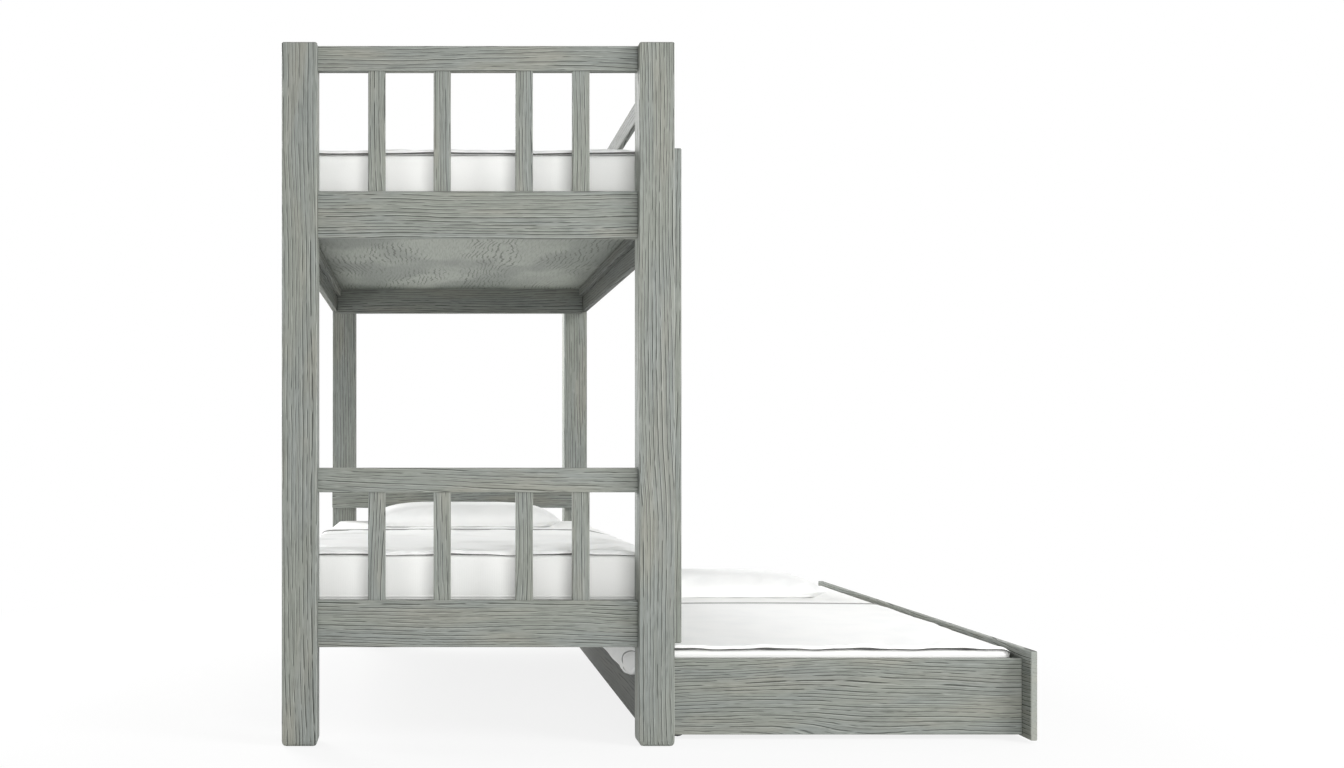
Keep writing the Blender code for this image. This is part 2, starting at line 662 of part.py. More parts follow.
def duvet_rows():
    """Places of the duvet's cross lines, measured from the mattress's foot end."""
    start = border_insets()
    cuff = DUVET_FOLD - DUVET_CUFF
    body = np.linspace(start[-1], cuff, DUVET_BODY_LINES)[1:]
    return np.concatenate([start, body, cuff + DUVET_CUFF * np.array(CUFF_LINE_SHARES)])


def thinned(count, at_start=True):
    """Shares of the full thickness along a line of points that thins towards its rims."""
    shares = np.ones(count)
    shares[-1], shares[-2] = RIM_THICKNESS_SHARES
    if at_start:
        shares[0], shares[1] = RIM_THICKNESS_SHARES
    return shares


def duvet_thickness(rows):
    """Thickness along the duvet, with a low swell between its quilt lines, and a full cuff."""
    swell = np.cos(2 * math.pi * rows / DUVET_FOLD_PITCH)
    body = DUVET_THICKNESS - DUVET_PUFF * (1 - swell) / 2
    body = np.where(rows > DUVET_FOLD - DUVET_CUFF, DUVET_THICKNESS, body)
    return body * thinned(len(rows))


def duvet_sheets(x, rows, column_shares):
    """Under and upper side of a duvet's flat part, about the mattress's centre and bottom."""
    half_x = MATTRESS_WIDTH / 2
    half_y = MATTRESS_LENGTH / 2
    px, py = np.meshgrid(x, rows - half_y)
    drop = shoulder_drop(half_x - np.abs(px)) + shoulder_drop(half_y + py)
    base = mattress_top(px, py) - drop + GAP + np.minimum(drop, DUVET_SHOULDER_LIFT)
    thick = duvet_thickness(rows)[:, None] * column_shares[None, :]
    return np.stack([px, py, base], axis=-1), np.stack([px, py, base + thick], axis=-1)


def make_duvet(name, centre, parent):
    """Duvet that lies on a mattress and rounds over its shoulders."""
    x = duvet_columns()
    inner, outer = duvet_sheets(x, duvet_rows(), thinned(len(x)))
    bm = bmesh.new()
    skin_grid(bm, inner + np.array(centre), outer + np.array(centre))
    finish_soft(name, bm, cotton_material, parent)


def hanging_sheets(panel_x, panel_top):
    """Under and upper side of the part of a duvet that hangs over a panel's outer face.

    Its hem rises towards the foot end and the cloth stands off in long waves,
    more the lower it hangs. Above, it bends over the panel's top edge.
    """
    rows = duvet_rows()
    y = rows - MATTRESS_LENGTH / 2
    full = thinned(len(rows)) * DROP_THICKNESS
    rise = DROP_CORNER_RISE * np.clip(1 - rows / DROP_CORNER_LENGTH, 0, 1) ** 2
    wave = DROP_FOLD_DEPTH * (1 + np.sin(2 * math.pi * rows / DROP_FOLD_PITCH))
    under, over = [], []
    for share, thick_share in zip(HANG_LINE_SHARES, HANG_THICKNESS_SHARES):
        x = panel_x - GAP - wave * share
        z = panel_top - (DROP_HANG - rise) * share
        under.append(np.stack([x, y, z], axis=-1))
        over.append(np.stack([x - full * thick_share, y, z], axis=-1))
    bends = ((panel_x - GAP, panel_top - EASE), (panel_x + EASE, panel_top + GAP),
             (panel_x + PANEL_THICKNESS - EASE, panel_top + GAP))
    for (bend_x, bend_z), (out_share, up_share) in zip(bends, BEND_THICKNESS_SHARES):
        x = np.full_like(y, bend_x)
        z = np.full_like(y, bend_z)
        under.append(np.stack([x, y, z], axis=-1))
        over.append(np.stack([x - full * out_share, y, z + full * up_share], axis=-1))
    return np.stack(under, axis=1), np.stack(over, axis=1)


def make_trundle_duvet(name, centre, parent):
    """Duvet of the trundle, which also hangs over the outside of the back panel."""
    x = duvet_columns()
    low, high = duvet_sheets(x, duvet_rows(), thinned(len(x), at_start=False))
    hang_low, hang_high = hanging_sheets(-centre[0], BODY_PANEL_TOP - centre[2])
    bm = bmesh.new()
    skin_grid(bm, np.concatenate([hang_low, low], axis=1) + np.array(centre),
              np.concatenate([hang_high, high], axis=1) + np.array(centre))
    finish_soft(name, bm, cotton_material, parent)


def make_pillow(name, centre, parent):
    """Pillow with drawn-in sides, pointed corners and a raised seam.

    Its height over the plan is the product of two curves that fall to zero at
    the seam. The underside follows the mattress's crown.
    """
    across_lines, along_lines = 13, 11
    a, b = np.meshgrid(np.sin(np.linspace(-math.pi / 2, math.pi / 2, across_lines)),
                       np.sin(np.linspace(-math.pi / 2, math.pi / 2, along_lines)))
    x = PILLOW_WIDTH / 2 * a * (1 - PILLOW_DRAW_SHARE * (1 - b ** 2))
    y = PILLOW_LENGTH / 2 * b * (1 - PILLOW_DRAW_SHARE * (1 - a ** 2))
    loft = np.sqrt(np.clip(1 - a ** 4, 0, 1)) * np.sqrt(np.clip(1 - b ** 4, 0, 1))
    seam = PILLOW_HEIGHT * PILLOW_SEAM_SHARE
    along = MATTRESS_LENGTH / 2 - PILLOW_HEAD_GAP - PILLOW_LENGTH / 2
    rest = mattress_top(x + PILLOW_OFFSET, y + along)
    under = seam * (1 - np.clip(loft * 2, 0, 1)) + GAP
    over = seam + GAP + (PILLOW_HEIGHT - seam) * loft
    rim = np.zeros_like(loft)
    rim[0, :] = rim[-1, :] = rim[:, 0] = rim[:, -1] = 1
    over = over + rim * EASE
    place = np.array(centre) + np.array([PILLOW_OFFSET, along, 0])
    bm = bmesh.new()
    skin_grid(bm, np.stack([x, y, rest + under], -1) + place, np.stack([x, y, rest + over], -1) + place)
    finish_soft(name, bm, cotton_material, parent)


def finish_soft(name, bm, material, parent):
    """Make a soft piece's object, shaded smooth."""
    obj = add_object(name, bm, material, parent)
    obj.data.shade_smooth()


def make_bunk_bedding(parent):
    """Mattress and duvet of both bunks, and the pillow of the lower one."""
    for bunk, rail_bottom in BUNKS:
        top = rail_bottom + PLATFORM_RISE + PLATFORM_THICKNESS + GAP
        centre = (BED_WIDTH / 2, BED_LENGTH / 2, top)
        make_mattress(f"{bunk}_mattress", centre, parent)
        make_duvet(f"{bunk}_duvet", centre, parent)
        if bunk == "lower":
            make_pillow("lower_pillow", centre, parent)


def make_trundle_box(parent):
    """Panels of the trundle, and its platform with a bearer glued under each end."""
    z = (BODY_PANEL_FLOOR_GAP, BODY_PANEL_TOP)
    inner = (PANEL_THICKNESS + GAP, TRUNDLE_WIDTH - GAP)
    board("trundle_back_panel", (0, PANEL_THICKNESS), (0, TRUNDLE_LENGTH), z, oak_material, parent)
    overlap = TRUNDLE_Y - FRONT_PANEL_INSET
    board("trundle_front_panel", (TRUNDLE_WIDTH, TRUNDLE_WIDTH + PANEL_THICKNESS),
          (-overlap, TRUNDLE_LENGTH + overlap),
          (FRONT_PANEL_FLOOR_GAP, BASE_RAIL_BOTTOM - FRONT_PANEL_TOP_GAP), oak_material, parent)
    for name, low in (("foot", 0), ("head", TRUNDLE_LENGTH - PANEL_THICKNESS)):
        board(f"trundle_{name}_panel", inner, (low, low + PANEL_THICKNESS), z, oak_material, parent)
    between = (PANEL_THICKNESS + GAP, TRUNDLE_LENGTH - PANEL_THICKNESS - GAP)
    platform = board("trundle_platform", inner, between,
                     (TRUNDLE_PLATFORM_BOTTOM, TRUNDLE_MATTRESS_BOTTOM), plywood_material, parent)
    ends = (("foot", (between[0], between[0] + BEARER_WIDTH)),
            ("head", (between[1] - BEARER_WIDTH, between[1])))
    for name, y in ends:
        glue_board(platform, grown(inner, -EASE), y, (BEARER_BOTTOM, TRUNDLE_PLATFORM_BOTTOM + GLUE_DEPTH),
                   parent, f"bearer_{name}")


def make_trundle_bedding(parent):
    """Mattress, duvet and pillow of the trundle."""
    centre = (PANEL_THICKNESS + TRUNDLE_SIDE_CLEARANCE + MATTRESS_WIDTH / 2, TRUNDLE_LENGTH / 2,
              TRUNDLE_MATTRESS_BOTTOM + GAP)
    make_mattress("trundle_mattress", centre, parent)
    make_trundle_duvet("trundle_duvet", centre, parent)
    make_pillow("trundle_pillow", centre, parent)


def lathe(bm, profile, sides, centre):
    """Turn a closed profile of (radius, place along Y) pairs round a Y axis."""
    loops = []
    for radius, along in profile:
        loop = []
        for side in range(sides):
            angle = 2 * math.pi * side / sides
            loop.append(bm.verts.new((centre[0] + radius * math.cos(angle), centre[1] + along,
                                      centre[2] + radius * math.sin(angle))))
        loops.append(loop)
    return loops


def wheel_profile():
    """Wheel section from the bore out and back: hub, dish, rounded tread."""
    half = WHEEL_WIDTH / 2
    hub = half - HUB_CLEARANCE
    bore = (AXLE_RADIUS + GAP) / math.cos(math.pi / WHEEL_SIDES)
    rim = WHEEL_RADIUS - WHEEL_TREAD_ROUND
    side = [(bore, hub), (WHEEL_HUB_RADIUS, hub), (WHEEL_HUB_RADIUS + WHEEL_DISH, half - WHEEL_DISH),
            (rim - WHEEL_DISH / 2, half - WHEEL_DISH), (rim, half - HUB_CLEARANCE),
            (WHEEL_RADIUS, half - HUB_CLEARANCE - WHEEL_TREAD_ROUND)]
    return [(r, -y) for r, y in side] + [(r, y) for r, y in reversed(side)]


def caster_places():
    """Axle centres of the four casters in the trundle's axes."""
    places = []
    rows = (("back", CASTER_INSET_X, CASTER_INSET_Y),
            ("front", TRUNDLE_WIDTH - CASTER_INSET_X, CASTER_INSET_Y + FRONT_CASTER_SETBACK))
    for name, x, inset in rows:
        places.append((f"foot_{name}", x, inset))
        places.append((f"head_{name}", x, TRUNDLE_LENGTH - inset))
    return places


def make_wheels(parent):
    """Four caster wheels, each with its origin on its axle."""
    for name, x, y in caster_places():
        bm = bmesh.new()
        loops = lathe(bm, wheel_profile(), WHEEL_SIDES, (0, 0, 0))
        ring_faces(bm, loops + [loops[0]])
        wheel = add_object(f"wheel_{name}", bm, tyre_material, parent)
        wheel.location = (x, y, WHEEL_RADIUS)
        wheel.data.shade_smooth()
        wheel.data.set_sharp_from_angle(angle=SHARP_ANGLE)


def add_axle(bm):
    """Add a riveted axle about the origin, lying along Y."""
    inside = WHEEL_WIDTH / 2 + HUB_CLEARANCE + BRACKET_STEEL
    profile = [(AXLE_HEAD_RADIUS, -inside - AXLE_HEAD_LENGTH), (AXLE_HEAD_RADIUS, RIVET_SEAT - inside),
               (AXLE_RADIUS, RIVET_SEAT - inside), (AXLE_RADIUS, inside - RIVET_SEAT),
               (AXLE_HEAD_RADIUS, inside - RIVET_SEAT), (AXLE_HEAD_RADIUS, inside + AXLE_HEAD_LENGTH)]
    loops = lathe(bm, profile, WHEEL_SIDES, (0, 0, 0))
    ring_faces(bm, loops)
    bm.faces.new(loops[0])
    bm.faces.new(reversed(loops[-1]))


def add_ears(bm):
    """Add the two tapered ears of a caster bracket, with round tips about the axle."""
    under = CASTER_HEIGHT - GAP - WHEEL_RADIUS - BRACKET_STEEL / 2
    half_in = WHEEL_WIDTH / 2 + HUB_CLEARANCE
    half_ear = BRACKET_EAR_WIDTH / 2
    lean = math.atan2(half_ear - BRACKET_EAR_TIP, under)
    tip_steps = 6
    outline = [(-half_ear, under), (half_ear, under)]
    for step in range(tip_steps + 1):
        angle = -lean - step / tip_steps * (math.pi - 2 * lean)
        outline.append((BRACKET_EAR_TIP * math.cos(angle), BRACKET_EAR_TIP * math.sin(angle)))
    for low in (-half_in - BRACKET_STEEL, half_in):
        front = [bm.verts.new((px, low, pz)) for px, pz in outline]
        back = [bm.verts.new((px, low + BRACKET_STEEL, pz)) for px, pz in outline]
        ring_faces(bm, [front, back])
        bm.faces.new(front)
        bm.faces.new(reversed(back))


def bracket_mesh():
    """Mesh of one fixed caster bracket about its axle: plate, ears and riveted axle in one."""
    top = CASTER_HEIGHT - GAP - WHEEL_RADIUS
    pattern = board("bracket_pattern", (-BRACKET_PLATE_LENGTH / 2, BRACKET_PLATE_LENGTH / 2),
                    (-BRACKET_PLATE_WIDTH / 2, BRACKET_PLATE_WIDTH / 2), (top - BRACKET_STEEL, top),
                    steel_material, None, BRACKET_STEEL * BRACKET_EASE_SHARE)
    tools = (("bracket_ears", add_ears), ("bracket_axle", add_axle))
    for name, add_shape in tools:
        bm = bmesh.new()
        add_shape(bm)
        cut_with(pattern, bm, None, name, "UNION")
    bpy.context.view_layer.update()
    joined = pattern.evaluated_get(bpy.context.evaluated_depsgraph_get())
    mesh = bpy.data.meshes.new_from_object(joined)
    for name in ("bracket_pattern", "bracket_ears", "bracket_axle"):
        bpy.data.objects.remove(bpy.data.objects[name], do_unlink=True)
    return mesh


def make_brackets(parent):
    """Four fixed caster brackets under the bearers."""
    mesh = bracket_mesh()
    for name, x, y in caster_places():
        bracket = bpy.data.objects.new(f"caster_bracket_{name}", mesh)
        bpy.context.scene.collection.objects.link(bracket)
        bracket.parent = parent
        bracket.location = (x, y, WHEEL_RADIUS)


def build_bed():
    """Make every piece under two empties: the bed and its trundle."""
    clear_scene()
    bed = add_empty("bed", (-TOTAL_WIDTH / 2, -BED_LENGTH / 2, 0))
    make_posts(bed)
    make_foot_panel(bed)
    make_head_boards(bed)
    make_side_rails(bed)
    make_platforms(bed)
    make_guard("guard", LADDER, GUARD_START, GUARD_BOTTOM, GUARD_UPRIGHT_SHARES, bed)
    make_guard("wall_guard", WALL, POST_DEPTH + GAP, WALL_GUARD_BOTTOM, WALL_UPRIGHT_SHARES, bed)
    make_ladder(bed)
    make_bunk_bedding(bed)
    trundle = add_empty("trundle", (TRUNDLE_X, TRUNDLE_Y, 0), bed)
    make_trundle_box(trundle)
    make_trundle_bedding(trundle)
    make_brackets(trundle)
    make_wheels(trundle)


build_bed()
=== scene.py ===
# %% [markdown]
# # Dressing a bunk bed with a trundle
# The bed's solids are already drawn: posts, rails, slats, ladder, trundle box, casters and
# plain stand-ins for the bedding. This lesson loads them as a fixed frame, looks at them from
# the foot end, gives every board its own brushed oak, and makes the mattresses, duvets and
# pillows as full, soft forms. All lengths are in metres, and Z points up.

# %% Load the frame
import json
import math

import bpy
import numpy as np
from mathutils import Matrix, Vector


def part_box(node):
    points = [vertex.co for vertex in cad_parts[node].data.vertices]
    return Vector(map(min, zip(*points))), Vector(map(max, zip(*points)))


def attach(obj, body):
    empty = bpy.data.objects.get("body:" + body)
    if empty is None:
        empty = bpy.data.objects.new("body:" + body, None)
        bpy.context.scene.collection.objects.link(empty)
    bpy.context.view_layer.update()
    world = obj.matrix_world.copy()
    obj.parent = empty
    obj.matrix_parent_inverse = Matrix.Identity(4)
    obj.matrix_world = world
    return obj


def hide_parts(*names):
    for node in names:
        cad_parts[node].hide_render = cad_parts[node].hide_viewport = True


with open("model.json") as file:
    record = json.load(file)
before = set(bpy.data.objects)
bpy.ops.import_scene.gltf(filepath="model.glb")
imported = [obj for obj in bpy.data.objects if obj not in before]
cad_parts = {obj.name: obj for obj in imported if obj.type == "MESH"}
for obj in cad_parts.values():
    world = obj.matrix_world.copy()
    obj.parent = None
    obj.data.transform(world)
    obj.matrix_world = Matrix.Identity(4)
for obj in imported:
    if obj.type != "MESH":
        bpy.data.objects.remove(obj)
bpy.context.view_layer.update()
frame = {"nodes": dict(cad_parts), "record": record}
nodes = frame["nodes"]
bodies = frame["record"]["behaviour"]["bodies"]
body_of_node = {node: body for body, members in bodies.items() for node in members}
scene = bpy.context.scene

# %% [markdown]
# ## The camera
# The bed was photographed square on to its foot end, from low down, with the picture cropped
# off centre. A camera that points level along Y keeps the posts upright, and its shift moves
# the picture without tilting anything. Turning the camera instead would lean the posts.

# %% Camera
IMAGE_WIDTH = 1344
IMAGE_HEIGHT = 768
FOCAL_PIXELS = 1421
SIGHT_COLUMN = 426
SIGHT_ROW = 451
SENSOR_WIDTH = 36.0
CAMERA_PLACE = (-0.630, -4.8555, 0.787)

camera_data = bpy.data.cameras.new("foot_end_view")
camera_data.sensor_width = SENSOR_WIDTH
camera_data.lens = FOCAL_PIXELS / IMAGE_WIDTH * SENSOR_WIDTH
camera_data.shift_x = (IMAGE_WIDTH / 2 - SIGHT_COLUMN) / IMAGE_WIDTH
camera_data.shift_y = (SIGHT_ROW - IMAGE_HEIGHT / 2) / IMAGE_WIDTH
camera = bpy.data.objects.new("foot_end_camera", camera_data)
camera.location = CAMERA_PLACE
camera.rotation_euler = (math.pi / 2, 0, 0)
scene.collection.objects.link(camera)
scene.camera = camera
print("lens:", round(camera_data.lens, 2), "mm, shift:", round(camera_data.shift_x, 3))

# %% [markdown]
# ## Arithmetic on shader sockets
# A wood grain is a formula: a distance, a few waves and some thresholds. Wiring each sum by
# hand hides the formula, so a small class wraps a socket and lets Python's own signs add the
# Math nodes. Any other node comes from one method, which sets the node up before its sockets.

# %% Signals
class Signal:
    """One output socket, on which arithmetic adds Math nodes to the same tree."""

    def __init__(self, maker, socket):
        self.maker = maker
        self.socket = socket

    def maths(self, operation, *values):
        sockets = dict(enumerate(values))
        return self.maker.node("ShaderNodeMath", {"operation": operation}, sockets)

    def output(self, name):
        return Signal(self.maker, self.socket.node.outputs[name])

    def __add__(self, other):
        return self.maths("ADD", self, other)

    def __radd__(self, other):
        return self.maths("ADD", other, self)

    def __sub__(self, other):
        return self.maths("SUBTRACT", self, other)

    def __rsub__(self, other):
        return self.maths("SUBTRACT", other, self)

    def __mul__(self, other):
        return self.maths("MULTIPLY", self, other)

    def __rmul__(self, other):
        return self.maths("MULTIPLY", other, self)

    def __truediv__(self, other):
        return self.maths("DIVIDE", self, other)

    def __abs__(self):
        return self.maths("ABSOLUTE", self)

    def fraction(self):
        return self.maths("FRACT", self)

    def root(self):
        return self.maths("SQRT", self)

    def sine(self):
        return self.maths("SINE", self)

    def larger(self, other):
        return self.maths("MAXIMUM", self, other)

    def smaller(self, other):
        return self.maths("MINIMUM", self, other)

    def rises(self, low, high):
        """0 up to low, 1 from high on, and a smooth step between them."""
        settings = {"interpolation_type": "SMOOTHSTEP"}
        limits = {"Value": self, "From Min": low, "From Max": high}
        return self.maker.node("ShaderNodeMapRange", settings, limits)

    def falls(self, low, high):
        return 1 - self.rises(low, high)


# %% Makers of nodes
class NodeMaker:
    """Adds nodes to one tree, a material's or the world's."""

    def __init__(self, tree):
        self.tree = tree

    def node(self, kind, settings=None, sockets=None):
        """Add a node: its settings first, then the value or link of each socket."""
        made = self.tree.nodes.new(kind)
        for name, value in (settings or {}).items():
            setattr(made, name, value)
        for name, value in (sockets or {}).items():
            if isinstance(value, Signal):
                self.tree.links.new(value.socket, made.inputs[name])
            else:
                made.inputs[name].default_value = value
        return Signal(self, made.outputs[0])

    def seen_directly(self):
        """1 for rays from the camera, off metal or through glass, and 0 for light rays."""
        path = self.node("ShaderNodeLightPath")
        return path.larger(path.output("Is Glossy Ray")).larger(path.output("Is Transmission Ray"))

    def show_mixed(self, end, share, first, second):
        """Send the end node a mix that goes from the first shader to the second."""
        mixed = self.node("ShaderNodeMixShader", None, {0: share, 1: first, 2: second})
        self.tree.links.new(mixed.socket, self.tree.nodes[end].inputs["Surface"])


class Finish(NodeMaker):
    """A material for one piece, read in the bed's own coordinates about a centre."""

    def __init__(self, name, centre=(0, 0, 0), **constants):
        self.material = bpy.data.materials.new(name)
        self.material.use_nodes = True
        super().__init__(self.material.node_tree)
        self.shader = self.tree.nodes["Principled BSDF"]
        for socket, value in constants.items():
            self.shader.inputs[socket.replace("_", " ")].default_value = value
        bed_place = self.node("ShaderNodeTexCoord").output("Object")
        shift = tuple(-value for value in centre)
        place = self.node("ShaderNodeMapping", None, {"Vector": bed_place, "Location": shift})
        split = self.node("ShaderNodeSeparateXYZ", None, {"Vector": place})
        self.axes = [split, split.output(1), split.output(2)]

    def noise(self, x, y, z, detail=1.0):
        """Smooth noise from 0 to 1, with one wave for each unit of x, y or z."""
        place = self.node("ShaderNodeCombineXYZ", None, {"X": x, "Y": y, "Z": z})
        sockets = {"Vector": place, "Scale": 1.0, "Detail": detail}
        return self.node("ShaderNodeTexNoise", None, sockets)

    def blend(self, share, first, second):
        """A colour that goes from the first to the second."""
        sockets = {0: share, 6: first, 7: second}
        return self.node("ShaderNodeMix", {"data_type": "RGBA"}, sockets).output(2)

    def feed(self, socket, signal):
        self.tree.links.new(signal.socket, self.shader.inputs[socket])

    def emboss(self, height, depth, strength):
        """Turn a height from 0 to 1 into dents and ridges that are depth metres high."""
        sockets = {"Height": height, "Distance": depth, "Strength": strength}
        self.feed("Normal", self.node("ShaderNodeBump", None, sockets))


def rgb(red, green, blue):
    """A colour as a screen shows it, from 0 to 255, turned into the light it stands for."""
    shares = [value / 255 for value in (red, green, blue)]
    linear = [s / 12.92 if s <= 0.04045 else ((s + 0.055) / 1.055) ** 2.4 for s in shares]
    return (*linear, 1.0)


def dress(node, finish):
    """Give every material slot of a CAD node this finish."""
    for holder in nodes[node].material_slots:
        holder.material = finish.material


# %% [markdown]
# ## Studio
# The bed stands in front of plain white. A world that gives even light from all round keeps
# every side readable. One broad lamp from the front right gives the boards their soft shading,
# one from the front keeps the slats' shadows on the mattresses faint, and lamps from the right,
# both sides of the back and low on the left reach into the lower bunk and under it. The white
# that the camera sees comes from the Light Path node, so it adds no light to the bed. The floor
# is pale, and takes the shadows. It turns to plain white further out, so that no horizon shows.

# %% World, floor and lamps
WORLD_LIGHT = 0.31
PLAIN_WHITE = (1, 1, 1, 1)
FLOOR_SIZE = 60.0
FLOOR_WHITE = (0.90, 0.90, 0.90, 1)
FLOOR_ROUGHNESS = 0.9
NEAR_GLOW = 0.84
CLEARING = (1.3, 3.4)
# Each lamp's name, place, aim, diameter in metres and power in watts.
LAMPS = (("front_right_softbox", (4.2, -3.4, 3.0), (0.0, -0.2, 0.5), 2.8, 184),
         ("front_softbox", (0.3, -6.2, 1.3), (-0.1, 0.0, 0.9), 3.4, 156),
         ("right_softbox", (4.4, 0.3, 3.2), (-0.2, 0.0, 0.6), 2.4, 34),
         ("back_left_softbox", (-3.6, 4.2, 2.4), (0.0, 0.2, 0.8), 3.0, 350),
         ("back_right_softbox", (3.9, 4.2, 2.4), (0.0, 0.2, 0.8), 3.0, 60),
         ("low_left_softbox", (-3.6, -0.4, 0.40), (0.0, -0.6, 0.2), 0.7, 46))


def make_world():
    """A world that lights the bed evenly from all round, and that the camera sees as white."""
    world = bpy.data.worlds.new("white_studio")
    world.use_nodes = True
    maker = NodeMaker(world.node_tree)
    light, white = (
        maker.node("ShaderNodeBackground", None, {"Color": PLAIN_WHITE, "Strength": strength})
        for strength in (WORLD_LIGHT, 1.0))
    maker.show_mixed("World Output", maker.seen_directly(), light, white)
    scene.world = world


def make_floor():
    """A pale floor that the camera sees as nearly white, and as plain white further out.

    The share of plain white goes from NEAR_GLOW to 1 between the two
    distances of CLEARING from the bed's middle.
    """
    half = FLOOR_SIZE / 2
    mesh = bpy.data.meshes.new("studio_floor")
    corners = [(-half, -half, 0), (half, -half, 0), (half, half, 0), (-half, half, 0)]
    mesh.from_pydata(corners, [], [(0, 1, 2, 3)])
    floor = bpy.data.objects.new("studio_floor", mesh)
    scene.collection.objects.link(floor)
    finish = Finish("white_floor", Base_Color=FLOOR_WHITE, Roughness=FLOOR_ROUGHNESS,
                    Specular_IOR_Level=0.0)
    x, y, _ = finish.axes
    clearing = (x * x + y * y).root().rises(*CLEARING) * (1 - NEAR_GLOW) + NEAR_GLOW
    matt = Signal(finish, finish.shader.outputs[0])
    glow = finish.node("ShaderNodeEmission", None, {"Strength": 1.0})
    finish.show_mixed("Material Output", finish.seen_directly() * clearing, matt, glow)
    mesh.materials.append(finish.material)


def make_lamp(name, place, aim, size, power):
    """A round softbox that faces its aim: tipped by its slope, then turned about Z."""
    data = bpy.data.lights.new(name, "AREA")
    data.shape = "DISK"
    data.size = size
    data.energy = power
    lamp = bpy.data.objects.new(name, data)
    lamp.location = place
    away = np.array(place) - np.array(aim)
    level = math.hypot(away[0], away[1])
    lamp.rotation_euler = (math.atan2(level, away[2]), 0, math.atan2(away[0], -away[1]))
    lamp.visible_camera = False
    scene.collection.objects.link(lamp)


make_world()
make_floor()
for settings in LAMPS:
    make_lamp(*settings)
scene.view_settings.view_transform = "Standard"
print("lamps:", [settings[0] for settings in LAMPS])

# %% [markdown]
# ## Brushed oak
# Each board is oak that was brushed with steel wire, so that its soft spring wood is worn into
# fine grooves, and then stained grey-green. The stain sits dark in the grooves. Growth rings
# are nearly cylinders round the heart of the tree, so the grain is worked out in three
# dimensions: the distance from a slightly tilted heart line beside the board, bent by slow
# noise, with a thin line at every few millimetres, at uneven steps, as good and bad years
# leave them. Long faces then show long lines, wide boards with a near heart show arches, and
# end grain shows curved rings, with no seam at any edge. Every board gets a heart line of its
# own. A few boards, and all but the outer face of a few others, have painted shade: their
# colour is blended towards a dark grey. The pale lips beside the grooves and the lighter end
# faces are painted highlights, and the lighter edges are partly wear and partly a painted
# highlight. A picture of wood wrapped round the boards would repeat and show seams.

# %% Oak colours and grain sizes
OAK_GREEN = rgb(136, 140, 132)
OAK_BLUE = rgb(134, 139, 135)
OAK_SAND = rgb(144, 144, 134)
OAK_SHADE = rgb(112, 115, 108)
OAK_GROOVE = rgb(42, 45, 40)
# A lighter tone: wear, and painted highlight on groove lips, end faces and edges.
OAK_WORN_AND_HIGHLIGHT = rgb(172, 175, 168)
# A dark grey that is blended in as painted shade.
OAK_PAINTED_SHADE = rgb(46, 48, 44)
RING_PITCH = 0.0092
FINE_PITCH = 0.0041
UNEVEN_RINGS = 2.2
GROOVE_DEPTH = 0.0007
GROOVE_RELIEF = 0.75
# How far the heart lies beside the board's middle, in half widths, and behind its face.
NEAR_HEART = 0.7
FAR_HEART = 1.3
HEART_SPREAD = 1.3
HEART_DEPTH = (0.020, 0.060)
HEART_TILT = 0.035
# How far the lines bend over half a metre, waver over a hand and tremble over a finger.
LEAST_BEND = 0.022
BEND_FOR_WIDTH = 0.26
WAVER = 0.0034
TREMBLE = 0.0013
ARCHED_GRAIN = ("trundle_", "head_")
# Noises that are stretched along the grain: their waves for each metre along it and across it,
# their detail, and a shift that keeps two of them apart.
STRETCHED = {"bend": (1.7, 5, 1.0, 0), "waver": (7, 34, 1.0, 0), "tremble": (26, 60, 1.0, 0),
             "dashes": (11, 95, 2.0, 0), "crowd": (1.6, 11, 1.0, 20),
             "fine_dashes": (17, 150, 1.0, 0), "streaks": (5, 210, 2.0, 0),
             "pores": (45, 620, 2.0, 0), "cloud": (2.2, 13, 2.0, 0),
             "second_cloud": (3.1, 17, 2.0, 40), "edge_patches": (9, 60, 2.0, 0)}
# The share of painted shade, a dark grey, on whole boards, and on all but the outer face of
# others.
PAINTED_SHADE_BOARDS = {"trundle_back_panel": 0.80, "head_upper_ledger": 0.40, "head_board": 0.15,
               "post_head_wall": 0.15}
PAINTED_SHADE_FACES = {"upper_ladder_side_rail": 0.70, "lower_ladder_side_rail": 0.40,
               "upper_wall_side_rail": 0.40, "guard_rail": 0.40}
OUTER_SKIN = (0.001, 0.004)
BUNK_MIDDLE = sum(corner.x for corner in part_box("foot_top_rail")) / 2


def board_axes(node):
    """A board's centre, half sizes, and its axes from longest to shortest."""
    low, high = (np.array(corner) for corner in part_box(node))
    order = list(np.argsort(low - high))
    return (low + high) / 2, (high - low) / 2, order


def grain_noise(finish, place, kind):
    """A stretched noise at a place along, across and through the board."""
    along_waves, cross_waves, detail, shift = STRETCHED[kind]
    chance, wide, thin = place
    along = chance * along_waves
    if shift:
        along = along + shift
    return finish.noise(along, wide * cross_waves, thin * cross_waves, detail)


